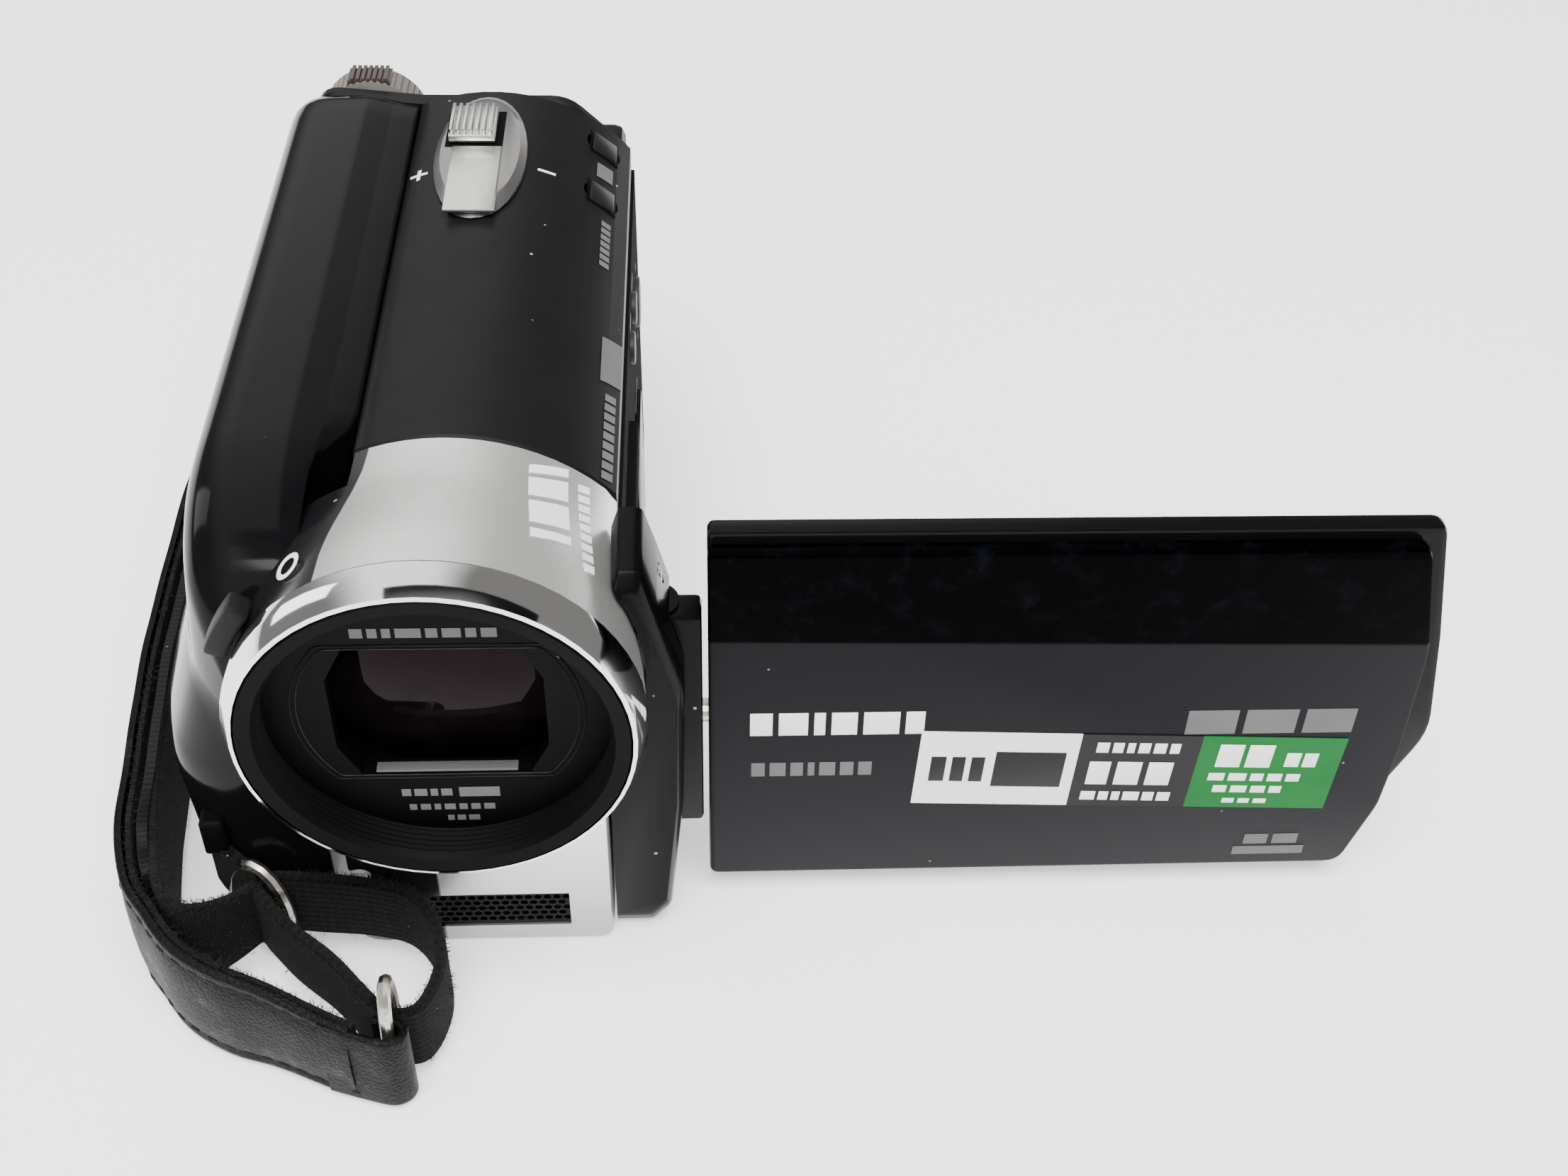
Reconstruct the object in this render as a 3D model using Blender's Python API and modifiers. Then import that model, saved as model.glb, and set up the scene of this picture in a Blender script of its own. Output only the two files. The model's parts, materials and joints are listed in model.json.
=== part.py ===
"""A hard-disk camcorder with its side screen swung open, built from separate solids.

Every length is in millimetres times MM. X runs across the body, and the screen opens to +X.
Z is up from the table. Stations run back from the front edge of the lens ring, and
at() turns a station into the Y of the model, whose origin is on the flat underside.
"""

import math

import bmesh
import bpy
from mathutils import Matrix, Vector

MM = 0.001
ORIGIN_STATION = 55.0
GAP = 0.3

# Lens and its barrel
LENS_Z = 44.3
RING_RADIUS = 21.9
RING_BACK = 4.4
THREAD_RADIUS = 18.4
MASK_FRONT = 4.8
BARREL_BACK = 28.3
TUBE_RADIUS = 15.8
TUBE_BACK = 62.0

# Body
BODY_BACK = 103.7
ARCH_RADIUS = 23.7
ARCH_Z = 38.7
SIDE_X = 18.3
GRIP_X = -34.5
GRIP_TOP = 62.4
GRIP_FRONT = 8.6
SEAM_X = -9.9
WALL = 1.8

# Swing-out screen
HINGE_X = 22.4
HINGE_STATION = 18.87
PANEL_FACE = 15.8
PANEL_THICK = 5.2
PANEL_MIDDLE = PANEL_FACE + PANEL_THICK / 2
PANEL_Z = 30.0
PANEL_X = 27.95
PANEL_TOP = 56.8
PANEL_BOTTOM = 3.2

# Top controls
POD_STATION = 86.3
BUTTON_ANGLE = math.radians(50.7)

# Mode dial
DIAL_X = -17.0
DIAL_Z = 54.6
DIAL_RADIUS = 7.3


def at(station):
    return (station - ORIGIN_STATION) * MM


def point(x, station, z):
    return Vector((x * MM, at(station), z * MM))


def clear_scene():
    for obj in list(bpy.data.objects):
        bpy.data.objects.remove(obj)


def new_collection(name, hidden=False):
    collection = bpy.data.collections.new(name)
    bpy.context.scene.collection.children.link(collection)
    collection.hide_render = hidden
    return collection


def plastic(name, colour, roughness=0.45, metallic=0.0, transmission=0.0):
    material = bpy.data.materials.new(name)
    material.use_nodes = True
    shader = material.node_tree.nodes["Principled BSDF"]
    shader.inputs["Base Color"].default_value = (*colour, 1)
    shader.inputs["Roughness"].default_value = roughness
    shader.inputs["Metallic"].default_value = metallic
    shader.inputs["Transmission Weight"].default_value = transmission
    return material


def place(obj, material=None):
    """Moves a new object into the camcorder's collection, or among the cutters."""
    for collection in list(obj.users_collection):
        collection.objects.unlink(obj)
    if material is None:
        CUTTERS.objects.link(obj)
        obj.hide_render = True
        obj.display_type = "WIRE"
    else:
        CAMCORDER.objects.link(obj)
        obj.data.materials.clear()
        obj.data.materials.append(material)
    return obj


def rounded(obj, width, segments=2, angle=40):
    bevel = obj.modifiers.new("rounded", "BEVEL")
    bevel.width = width * MM
    bevel.segments = segments
    bevel.limit_method = "ANGLE"
    bevel.angle_limit = math.radians(angle)
    return obj


def cut(obj, cutter):
    boolean = obj.modifiers.new("cut " + cutter.name, "BOOLEAN")
    boolean.operation = "DIFFERENCE"
    boolean.object = cutter
    return obj


def merge(obj, other):
    boolean = obj.modifiers.new("join " + other.name, "BOOLEAN")
    boolean.operation = "UNION"
    boolean.object = other
    return obj


def block(name, x, station, z, material=None, round_by=0.0):
    """A box between two values of x, station and z."""
    size = Vector((x[1] - x[0], station[1] - station[0], z[1] - z[0])) * MM
    middle = point(sum(x) / 2, sum(station) / 2, sum(z) / 2)
    bpy.ops.mesh.primitive_cube_add(size=1, location=middle)
    obj = bpy.context.object
    obj.name = name
    obj.scale = size
    bpy.ops.object.transform_apply(location=False, rotation=False, scale=True)
    place(obj, material)
    if round_by:
        rounded(obj, round_by)
    return obj


def rod(name, radius, start, end, material=None, sides=20, round_by=0.0):
    """A cylinder between two points given as x, station, z."""
    start, end = point(*start), point(*end)
    along = end - start
    bpy.ops.mesh.primitive_cylinder_add(
        vertices=sides, radius=radius * MM, depth=along.length, location=(start + end) / 2
    )
    obj = bpy.context.object
    obj.name = name
    obj.rotation_euler = along.to_track_quat("Z", "Y").to_euler()
    place(obj, material)
    if round_by:
        rounded(obj, round_by)
    return obj


def mesh_object(name, bm, material, origin=None):
    """Makes an object of the bmesh, with its normals turned outward and its origin where asked."""
    origin = origin or Vector((0, 0, 0))
    bmesh.ops.translate(bm, verts=bm.verts, vec=-origin)
    bmesh.ops.recalc_face_normals(bm, faces=bm.faces)
    mesh = bpy.data.meshes.new(name)
    bm.to_mesh(mesh)
    bm.free()
    obj = bpy.data.objects.new(name, mesh)
    obj.location = origin
    bpy.context.scene.collection.objects.link(obj)
    return place(obj, material)


def loft(name, rings, material=None, closed=False, origin=None):
    """Skins a row of rings that have the same number of points each."""
    bm = bmesh.new()
    rows = [[bm.verts.new(p) for p in ring] for ring in rings]
    pairs = list(zip(rows, rows[1:]))
    if closed:
        pairs.append((rows[-1], rows[0]))
    else:
        bm.faces.new(rows[0])
        bm.faces.new(rows[-1])
    for near, far in pairs:
        for a, b, c, d in zip(near, near[1:] + near[:1], far[1:] + far[:1], far):
            bm.faces.new((a, b, c, d))
    return mesh_object(name, bm, material, origin)


def turned(name, profile, centre, material=None, steps=48, direction="Y"):
    """Spins a closed profile of (radius, height) about an axis through the centre."""
    area = sum(
        r0 * h1 - r1 * h0
        for (r0, h0), (r1, h1) in zip(profile, profile[1:] + profile[:1])
    )
    if area > 0:
        profile = profile[::-1]
    on_axis = [i for i, (r, _) in enumerate(profile) if r == 0]
    if on_axis:
        first = next(i for i in on_axis if profile[i - 1][0] == 0)
        profile = profile[first:] + profile[:first]
    bm = bmesh.new()
    verts = [bm.verts.new((r * MM, 0, h * MM)) for r, h in profile]
    for a, b in zip(verts, verts[1:]):
        bm.edges.new((a, b))
    if not on_axis:
        bm.edges.new((verts[-1], verts[0]))
    mesh = bpy.data.meshes.new(name)
    bm.to_mesh(mesh)
    bm.free()
    obj = bpy.data.objects.new(name, mesh)
    obj.location = point(*centre)
    turn = {"X": (0, math.pi / 2, 0), "Y": (-math.pi / 2, 0, 0), "Z": (0, 0, 0)}
    obj.rotation_euler = turn[direction]
    bpy.context.scene.collection.objects.link(obj)
    screw = obj.modifiers.new("turned", "SCREW")
    screw.steps = steps
    screw.render_steps = steps
    screw.use_merge_vertices = True
    screw.merge_threshold = 0.00001
    return place(obj, material)


def fillet(corners, steps=4):
    """The outline through corners of (x, z, radius), each rounded by its radius."""
    outline = []
    count = len(corners)
    for i, (x, z, radius) in enumerate(corners):
        here = Vector((x, z))
        before = Vector(corners[i - 1][:2]) - here
        after = Vector(corners[(i + 1) % count][:2]) - here
        if radius == 0:
            outline.append((x, z))
            continue
        half = before.angle(after) / 2
        reach = min(radius / math.tan(half), 0.49 * min(before.length, after.length))
        start = here + before.normalized() * reach
        end = here + after.normalized() * reach
        for k in range(steps + 1):
            t = k / steps
            bent = start * (1 - t) ** 2 + here * 2 * t * (1 - t) + end * t**2
            outline.append((bent.x, bent.y))
    return outline


def slab(name, outline, station, material=None, origin=None):
    """A flat piece in the XZ plane, between two stations."""
    rings = [[point(x, s, z) for x, z in outline] for s in station]
    return loft(name, rings, material, origin=origin)


def arc(radius, centre, start, end, steps):
    """Points along a circle, from one angle in degrees to another."""
    angles = [math.radians(start + (end - start) * k / steps) for k in range(steps + 1)]
    return [
        (centre[0] + radius * math.cos(a), centre[1] + radius * math.sin(a))
        for a in angles
    ]


# Front housing: the silver barrel that runs from the lens ring into the body


def barrel_ring(station, grow=0.0, count=56):
    """The barrel's outline, round at the lens ring and arched where it meets the top cover."""
    blend = min(max((station - RING_BACK) / (BARREL_BACK - RING_BACK), 0), 1)
    blend = blend * blend * (3 - 2 * blend)
    ring = []
    for k in range(count):
        angle = 2 * math.pi * k / count
        cos, sin = math.cos(angle), math.sin(angle)
        round_reach = RING_RADIUS - 0.15
        lift = LENS_Z - ARCH_Z
        arch_reach = -lift * sin + math.sqrt(ARCH_RADIUS**2 - (lift * cos) ** 2)
        if sin < 0:
            arch_reach = 19.0
        arch_reach = min(arch_reach, SIDE_X / max(abs(cos), 0.01))
        reach = round_reach + (arch_reach - round_reach) * blend + grow
        ring.append(point(reach * cos, station, LENS_Z + reach * sin))
    return ring


def barrel(name, start, end, grow=0.0, material=None):
    stations = [start + (end - start) * k / 6 for k in range(7)]
    return loft(name, [barrel_ring(s, grow) for s in stations], material)


def build_front_housing():
    body = barrel("front_housing", RING_BACK + GAP, BARREL_BACK, 0, SILVER)
    corners = [(-14, 0, 3), (16.6, 0, 2), (16.6, 40, 1), (-14, 40, 1)]
    lower = slab("lower front", fillet(corners), (8.7, BARREL_BACK))
    rounded(lower, 0.8, 2)
    merge(body, lower)
    cut(body, rod("mask seat", 20.7, (0, 0, LENS_Z), (0, 9.2, LENS_Z), sides=48))
    cut(body, rod("tube bore", 16.2, (0, 5, LENS_Z), (0, 40, LENS_Z), sides=40))
    cut(body, block("lower hollow", (-11.5, 14.4), (11.2, 40), (2.4, 24.6)))
    cut(body, block("grille window", (-5.3, 11.5), (5, 12), (3.0, 8.9)))
    cut(body, block("grip side", (-30, SEAM_X + 0.4), (22, 40), (-1, 70)))
    cut(body, rod("lamp hole", 1.6, (-12.6, 5, 12.5), (-12.6, 15, 12.5)))
    return body


def build_lens_front():
    chrome = [(20.7, 0.35), (20.45, 0.1), (20.9, 0.25), (21.9, 2.3), (21.9, RING_BACK), (20.7, RING_BACK)]
    turned("lens_ring", chrome, (0, 0, LENS_Z), CHROME, 60)
    ridges = []
    for k in range(5):
        deep = 1.1 + 0.7 * k
        ridges += [(THREAD_RADIUS - 0.3, deep), (THREAD_RADIUS, deep + 0.35)]
    face = [(20.4, 4.4), (20.4, 0.4), (20.15, 0.0), (18.6, 0.25)] + ridges
    turned("lens_face_ring", face + [(THREAD_RADIUS - 0.2, 4.5)], (0, 0, LENS_Z), BLACK, 48)

    disc = arc(20.4, (0, LENS_Z), 0, 360 - 7.5, 47)
    mask = slab("lens_mask", disc, (MASK_FRONT, MASK_FRONT + 1.5), BLACK)
    window = [(x * a, LENS_Z + z * b) for a, b in ((1, 1), (-1, 1), (-1, -1), (1, -1))
              for x, z in (((11.2, 5.0), (9.0, 9.4)) if a * b > 0 else ((9.0, 9.4), (11.2, 5.0)))]
    cut(mask, slab("window", window, (0, 20)))

    for name, side in (("cover_blade_upper", 1), ("cover_blade_lower", -1)):
        half = [(12, 9.7), (12, 15.6), (8.5, 17.9), (4, 19.3)]
        outline = half + [(-x, z) for x, z in half[::-1]]
        outline = [(x, LENS_Z + side * z) for x, z in outline]
        slab(name, outline, (6.7, 7.3), GREY, point(0, 7, LENS_Z + side * 12))

    knob = arc(22.1, (0, LENS_Z), 142, 159, 5) + arc(24.6, (0, LENS_Z), 159, 142, 5)
    lever = slab("cover_lever", knob, (5.0, 8.1), RUBBER, point(0, 6.5, LENS_Z))
    rounded(lever, 0.5, 2)


def lens(name, radius, front, back, bulge, material):
    """A round glass between two stations with both faces bulging out."""
    rim = [(radius, front + bulge), (radius, back - bulge)]
    front_face = [(radius * k / 5, front + bulge * (k / 5) ** 2) for k in range(5)]
    back_face = [(radius * k / 5, back - bulge * (k / 5) ** 2) for k in range(4, -1, -1)]
    return turned(name, front_face + rim + back_face, (0, 0, LENS_Z), material, 32)


def build_optics():
    lens("front_lens", 14.2, 8.6, 14.4, 2.1, GLASS)
    wall = [(TUBE_RADIUS, 8.0), (TUBE_RADIUS, TUBE_BACK), (7, TUBE_BACK),
            (7, TUBE_BACK - 1.2), (14.5, TUBE_BACK - 1.2), (14.5, 15), (14.5, 8.0)]
    turned("lens_tube", wall, (0, 0, LENS_Z), BLACK, 40)
    for side, x in (("left", -12.2), ("right", 12.2)):
        rod("guide_rod_" + side, 0.8, (x, 15.2, LENS_Z), (x, 60.4, LENS_Z), STEEL, 10)
    for name, start, end in (("zoom_group", 24, 31), ("focus_group", 46, 51)):
        group = [(0, start), (8, start + 1), (8, start + 1.5), (13.8, start + 1.5),
                 (13.8, end - 1.5), (8, end - 1.5), (8, end - 1), (0, end)]
        body = turned(name, group, (0, 0, LENS_Z), BLACK, 32)
        for x in (-12.2, 12.2):
            hole = rod(name + " rod hole", 1.1, (x, 14, LENS_Z), (x, 62, LENS_Z), sides=10)
            cut(body, hole)
    block("image_sensor", (-9, 9), (62.4, 64.6), (LENS_Z - 9, LENS_Z + 9), GREEN)


# Grip side: the glossy shell the hand wraps round


def grip_ring(station, inset=0.0, inner_x=SEAM_X):
    """The grip shell's outline, falling away toward its front shoulder."""
    nose = min(max((32 - station) / (32 - GRIP_FRONT), 0), 1) ** 2
    out = GRIP_X + 10.5 * nose + inset
    top = GRIP_TOP - 12.0 * nose - inset
    foot = 1.7 + inset
    corners = [
        (inner_x, foot, 0),
        (inner_x, top - 2.0 * (1 - nose), 0),
        (-14.6 + 2.0 * nose, top, 3),
        (-22.6 + 5.0 * nose + inset, top, 2.6),
        (out + 7.2 - 2.5 * nose, 54.5 - 10.5 * nose, 8),
        (out, 41 - 5 * nose, 9),
        (out + 1, 14, 9),
        (out + 7.5, foot, 5),
    ]
    return [point(x, station, z) for x, z in fillet(corners, 3)]


def build_grip():
    stations = [GRIP_FRONT + 0.9, 11, 14, 18, 23, 28, 34, 60, BODY_BACK]
    front = grip_ring(GRIP_FRONT, 1.2)
    shell = loft("grip_shell", [front] + [grip_ring(s) for s in stations], GLOSS)
    hollow = [grip_ring(s, WALL, SEAM_X + 5) for s in (13, 18, 23, 34, 60, BODY_BACK + 5)]
    cut(shell, loft("grip hollow", hollow))
    cut(shell, barrel("barrel clearance", 2, BARREL_BACK + 0.6, 0.35))
    cut(shell, block("lower front clearance", (-14.3, 5), (5, BARREL_BACK + 0.6), (-1, 42)))
    cut(shell, rod("strap slot front", 1.2, (-28.5, 5, 16), (-28.5, 30, 16)))
    return shell


# Top cover, rear cover, sides and underside


def build_top_cover():
    outer = arc(ARCH_RADIUS, (0, ARCH_Z), 114.6, 39.6, 14)
    inner = arc(ARCH_RADIUS - WALL, (0, ARCH_Z), 41.3, 116.9, 14)
    edge = [(SIDE_X, 52.4), (SIDE_X, 50.6), (SIDE_X - WALL, 50.6)]
    cover = slab("top_cover", outer + edge + inner, (BARREL_BACK + GAP, BODY_BACK), SATIN)
    rounded(cover, 0.35, 1, 60)
    for station in (85.3, 97.7):
        cut(cover, rod("button hole", 2.75, *top_line(station, -4, 4), sides=20))
    return cover


def top_line(station, low, high):
    """Two points along the line that leaves the arched top square at a button."""
    across, up = math.cos(BUTTON_ANGLE), math.sin(BUTTON_ANGLE)
    return [
        ((ARCH_RADIUS + h) * across, station, ARCH_Z + (ARCH_RADIUS + h) * up)
        for h in (low, high)
    ]


def build_top_controls():
    for name, station in (("top_button_front", 85.3), ("top_button_rear", 97.7)):
        rod(name, 2.4, *top_line(station, -1.6, 0.55), material=GREY, round_by=0.35)

    ellipse = [
        (-0.3 + 5.9 * math.cos(a), 15.2 * math.sin(a))
        for a in [2 * math.pi * k / 32 for k in range(32)]
    ]
    rings = [
        [point(-0.3 + (x + 0.3) * f, POD_STATION + s * f, z) for x, s in ellipse]
        for z, f in ((60, 1.0), (62.6, 1.0), (63.5, 0.86))
    ]
    pod = loft("zoom_pod", rings, SILVER)
    cut(pod, rod("cover crown", ARCH_RADIUS + GAP, (0, 60, ARCH_Z), (0, 110, ARCH_Z), sides=96))
    block("zoom_lever", (-4.4, 1.6), (87.4, 95.2), (63.8, 65.6), STEEL, 0.5)


def build_rear():
    corners = [(-33.2, 12, 5), (-26.5, 1.7, 4), (17.6, 1.7, 2), (18.2, 52.6, 3),
               (10, 60.6, 6), (-9.8, 60.6, 6), (-22.8, 61.8, 3), (-33.4, 41, 9)]
    rear = slab("rear_cover", fillet(corners), (BODY_BACK + GAP, 106.2), SATIN)
    rounded(rear, 0.5, 1)
    cut(rear, block("latch slot", (0.4, 9.4), (100, 110), (2.9, 5.3)))

    dial = turned(
        "mode_dial",
        [(4.4, 106.6), (DIAL_RADIUS - 0.4, 106.6), (DIAL_RADIUS, 107.0),
         (DIAL_RADIUS, 110.4), (DIAL_RADIUS - 0.5, 110.9), (4.4, 110.9)],
        (DIAL_X, 0, DIAL_Z), GREY, 40,
    )
    dial.location.y = at(0)
    rod("record_button", 4.0, (DIAL_X, 107.9, DIAL_Z), (DIAL_X, 111.5, DIAL_Z), RED, 28, 0.4)
    block("battery", (-8.2, 17.2), (106.6, 117.0), (8.2, 50.5), SATIN, 1.6)
    block("battery_latch", (1.0, 6.4), (104.5, 107.6), (3.2, 5.0), GREY, 0.3)


def build_side():
    corners = [(22.4, 1.8, 1), (BODY_BACK, 1.8, 3), (BODY_BACK, 50.2, 0), (22.4, 50.2, 0)]
    rings = [
        [point(x, s, z) for s, z in fillet(corners, 2)] for x in (16.9, 18.7)
    ]
    side = loft("side_panel", rings, SATIN)
    merge(side, block("control strip", (18.0, 19.8), (32, 58), (36, 41.5), round_by=0.25))
    cut(side, block("shroud clearance", (10, 30), (20, 24.6), (0, 60)))
    cut(side, barrel("barrel flank clearance", 20, BARREL_BACK + 1, 0.35))
    cut(side, block("terminal recess", (18.0, 30), (61.6, 83.0), (7.6, 28.4)))
    for k in range(4):
        slot = block("speaker slot", (10, 30), (40, 50), (12 + 2.4 * k, 13.1 + 2.4 * k))
        cut(side, slot)
    for name, station, z, radius in SIDE_BUTTONS:
        hole = rod(name + " hole", radius + GAP, (10, station, z), (30, station, z), sides=16)
        cut(side, hole)
        rod(name, radius, (17.2, station, z), (19.3, station, z), GREY, 16, 0.25)
    door = block("terminal_cover", (18.3, 19.4), (62.0, 82.6), (8.0, 28.0), RUBBER, 0.3)
    set_origin(door, point(19.4, 62.0, 18))


def set_origin(obj, origin):
    """Moves the object's origin without moving its shape."""
    obj.data.transform(Matrix.Translation(obj.location - origin))
    obj.location = origin


def build_shroud():
    corners = [(16.95, 0.3, 0), (21.4, 0.3, 1), (23.6, 3, 2), (25.3, 22, 20), (25.7, 41, 8),
               (22.8, 52.5, 6), (21.3, 57.8, 1), (18.8, 57.8, 0.5), (16.95, 52, 0)]
    outline = fillet(corners, 3)
    rings = [
        [point(x - (x - 16.95) * f, s, z + (28 - z) * f) for x, z in outline]
        for s, f in ((10.2, 0.09), (10.8, 0.03), (11.8, 0.0), (22.0, 0.0))
    ]
    shroud = loft("hinge_shroud", rings, SATIN)
    cut(shroud, barrel("barrel side clearance", 2, BARREL_BACK, 0.35))
    cut(shroud, block("hinge bay", (19.4, 40), (15.5, 40), (12.4, 47.6)))
    cut(shroud, rod("hinge pin hole", 1.15, (HINGE_X, HINGE_STATION, 8), (HINGE_X, HINGE_STATION, 52), sides=12))
    rod("hinge_pin", 0.95, (HINGE_X, HINGE_STATION, 8.4), (HINGE_X, HINGE_STATION, 51.6), STEEL, 12)


def build_base():
    corners = [(-25.5, 29.0, 4), (15.8, 29.0, 2), (15.8, 102.5, 2), (-25.5, 102.5, 4)]
    rings = [[point(x, s, z) for x, s in fillet(corners, 3)] for z in (0.0, 1.4)]
    base = loft("base_plate", rings, SATIN)
    cut(base, block("card opening", (0.7, 12.3), (74.7, 101.3), (-2, 4)))
    cut(base, rod("tripod hole", 4.8, (0, 38, -2), (0, 38, 4), sides=24))
    socket = [(3.0, 0.1), (4.5, 0.1), (4.5, 1.7), (6.5, 1.7), (6.5, 3.4), (4.5, 3.4), (4.5, 7.5),
              (0, 7.5), (0, 6.6), (3.0, 6.6)]
    turned("tripod_socket", socket, (0, 38, 0), STEEL, 24, "Z")
    door = block("card_door", (1.0, 12.0), (75.0, 101.0), (0.1, 1.3), SATIN, 0.2)
    set_origin(door, point(12.0, 88.0, 0.1))
    for x, station in ((-20, 34), (-20, 97)):
        head = rod("base_screw_%d" % (len(SCREWS) + 1), 1.5, (x, station, 0.35), (x, station, 1.4), STEEL, 12)
        cut(base, rod("screw hole", 1.8, (x, station, -2), (x, station, 4), sides=12))
        SCREWS.append(head)


def build_inside():
    block("main_board", (-8.5, 14.5), (30, 72), (20.4, 21.8), GREEN)
    block("hard_drive", (-27.6, -20.4), (38, 92), (10.0, 44.0), STEEL, 0.6)
    holder = block("card_slot", (3.0, 9.6), (73.6, 102.4), (14, 38.4), BLACK)
    cut(holder, block("card way", (4.9, 7.7), (75.7, 100.3), (0, 37.4)))
    block("memory_card", (5.2, 7.4), (76.0, 100.0), (4.6, 36.8), BLUE)
    for name, x in (("microphone_left", -1.2), ("microphone_right", 7.6)):
        rod(name, 2.1, (x, 11.6, 6.0), (x, 14.4, 6.0), STEEL, 16)


def build_front_details():
    corners = [(-5.0, 3.3, 0.5), (11.2, 3.3, 0.5), (11.2, 8.6, 2.4), (-5.0, 8.6, 0.5)]
    slab("mic_grille", fillet(corners, 3), (9.0, 9.9), GREY)
    rod("status_lamp", 1.3, (-12.6, 8.9, 12.5), (-12.6, 11.0, 12.5), WHITE, 16, 0.3)


# Swing-out screen


def panel_outline(grow=0.0, bump=0.0):
    """The cover's outline: square at the hinge and bowed out at the free end."""
    return [
        (PANEL_X + 0.3, PANEL_BOTTOM - grow / 2, 1.2),
        (107.6, PANEL_BOTTOM - grow / 2, 2.5),
        (110.4 + bump * 0.2, 14, 12),
        (110.8 + bump, 24, 12),
        (110.4 + grow, 40, 20),
        (106.9 + grow, PANEL_TOP - 0.8 + grow / 2, 1.8),
        (PANEL_X + 0.3, PANEL_TOP - 0.8 + grow / 2, 0.8),
    ]


def build_screen():
    hinge = point(HINGE_X, HINGE_STATION, PANEL_Z)
    column = rod("hinge_block", 2.75, (HINGE_X, HINGE_STATION, 12.8), (HINGE_X, HINGE_STATION, 47.2), SATIN, 28)
    column.location = hinge
    arm = block("hinge arm", (HINGE_X, 27.6), (15.95, 20.3), (13.2, 46.8))
    merge(column, rounded(arm, 0.6, 2))
    cut(column, rod("hinge bore", 1.15, (HINGE_X, HINGE_STATION, 0), (HINGE_X, HINGE_STATION, 60), sides=12))
    cut(column, rod("tilt bore", 1.7, (24.4, PANEL_MIDDLE, PANEL_Z), (30, PANEL_MIDDLE, PANEL_Z), sides=14))
    rod("tilt_pin", 1.4, (24.8, PANEL_MIDDLE, PANEL_Z), (32.4, PANEL_MIDDLE, PANEL_Z), STEEL, 14)

    middle = point(PANEL_X, PANEL_MIDDLE, PANEL_Z)
    pin_hole = rod("pin hole", 1.7, (20, PANEL_MIDDLE, PANEL_Z), (33, PANEL_MIDDLE, PANEL_Z), sides=14)
    cover = slab("screen_cover", fillet(panel_outline()), (PANEL_FACE, 18.2), GLOSS, middle)
    rounded(cover, 0.5, 2, 60)
    cut(cover, block("cover hollow", (33.5, 103), (17.2, 20), (8.5, 51.5)))
    cut(cover, pin_hole)
    frame = slab("screen_frame", fillet(panel_outline(2.2, 4.4)), (18.5, 21.0), SATIN, middle)
    rounded(frame, 0.7, 2, 60)
    cut(frame, block("screen window", (38.5, 99.5), (18, 25), (13.2, 47.2)))
    cut(frame, block("module pocket", (36.2, 101.8), (10, 19.9), (10.8, 49.6)))
    cut(frame, pin_hole)
    block("screen_glass", (38.8, 99.2), (20.0, 20.8), (13.5, 46.9), GLASS_DARK)
    block("screen_module", (36.6, 101.4), (17.5, 19.6), (11.2, 49.2), STEEL)
    for k, z in enumerate((38, 30, 22)):
        cut(frame, rod("key hole", 2.2, (106.2, 10, z), (106.2, 30, z), sides=16))
        key = rod("screen_key_%d" % (k + 1), 1.9, (106.2, 19.4, z), (106.2, 21.15, z), GREY, 16, 0.2)
        key.data.name = key.name


# Hand strap


def band(name, path, thick, material, closed=False):
    """A strap standing on its edge along a path of x, station, lower edge and height."""
    count = len(path)
    rings = []
    for i, (x, station, low, height) in enumerate(path):
        before = path[i - 1] if closed or i else path[i]
        after = path[(i + 1) % count] if closed or i < count - 1 else path[i]
        along = Vector((after[0] - before[0], after[1] - before[1], 0)).normalized()
        side = Vector((along.y, -along.x, 0)) * thick / 2
        rings.append([
            point(x + side.x, station + side.y, low),
            point(x + side.x, station + side.y, low + height),
            point(x - side.x, station - side.y, low + height),
            point(x - side.x, station - side.y, low),
        ])
    return loft(name, rings, material, closed)


def build_strap():
    pad = [(-38.4, 97, 4, 19), (-40.0, 82, 3, 19), (-41.0, 66, 1.6, 19), (-41.3, 52, 0.6, 19),
           (-40.9, 41, 0.6, 19), (-40.3, 31, 0.6, 19), (-39.3, 21, 0.6, 19), (-38.5, 12, 0.6, 18.5),
           (-36.9, 5.6, 0.6, 17.5), (-34.5, 2.0, 0.6, 16.5), (-30.9, -2.5, 0.6, 16), (-26.2, -5.5, 0.6, 15.5),
           (-20.9, -7.5, 0.6, 14.5), (-15.2, -10.1, 0.6, 13.5), (-10.9, -11.9, 0.6, 12.5)]
    band("strap_pad", pad, 4.0, LEATHER)
    loop = [(-24.0, 7.2, 4.6, 10), (-20.2, 1.8, 4.2, 10), (-14.6, -3.0, 3.4, 10), (-10.2, -7.4, 2.6, 10),
            (-7.4, -9.6, 2.8, 9.4), (-4.2, -8.6, 1.6, 10), (-2.4, -3.6, 2.0, 10), (-3.2, 1.6, 3.0, 10),
            (-6.2, 5.2, 4.0, 10), (-11.0, 6.6, 4.6, 10), (-17.0, 7.2, 4.8, 10)]
    band("strap_webbing", loop, 1.4, FABRIC, True)
    oval("strap_ring_front", (-24.0, 7.2, 9.4), 7.6, 3.7, (0.90, -0.436))
    oval("strap_ring_rear", (-7.4, -9.5, 8.7), 7.7, 3.1, (0.06, -1.0))
    block("strap_anchor_front", (-29.4, -26.6), (8.2, 11.0), (17.6, 23.0), BLACK, 0.5)
    block("strap_anchor_rear", (-36.0, -34.7), (92, 101), (6, 22), BLACK, 0.4)


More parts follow.
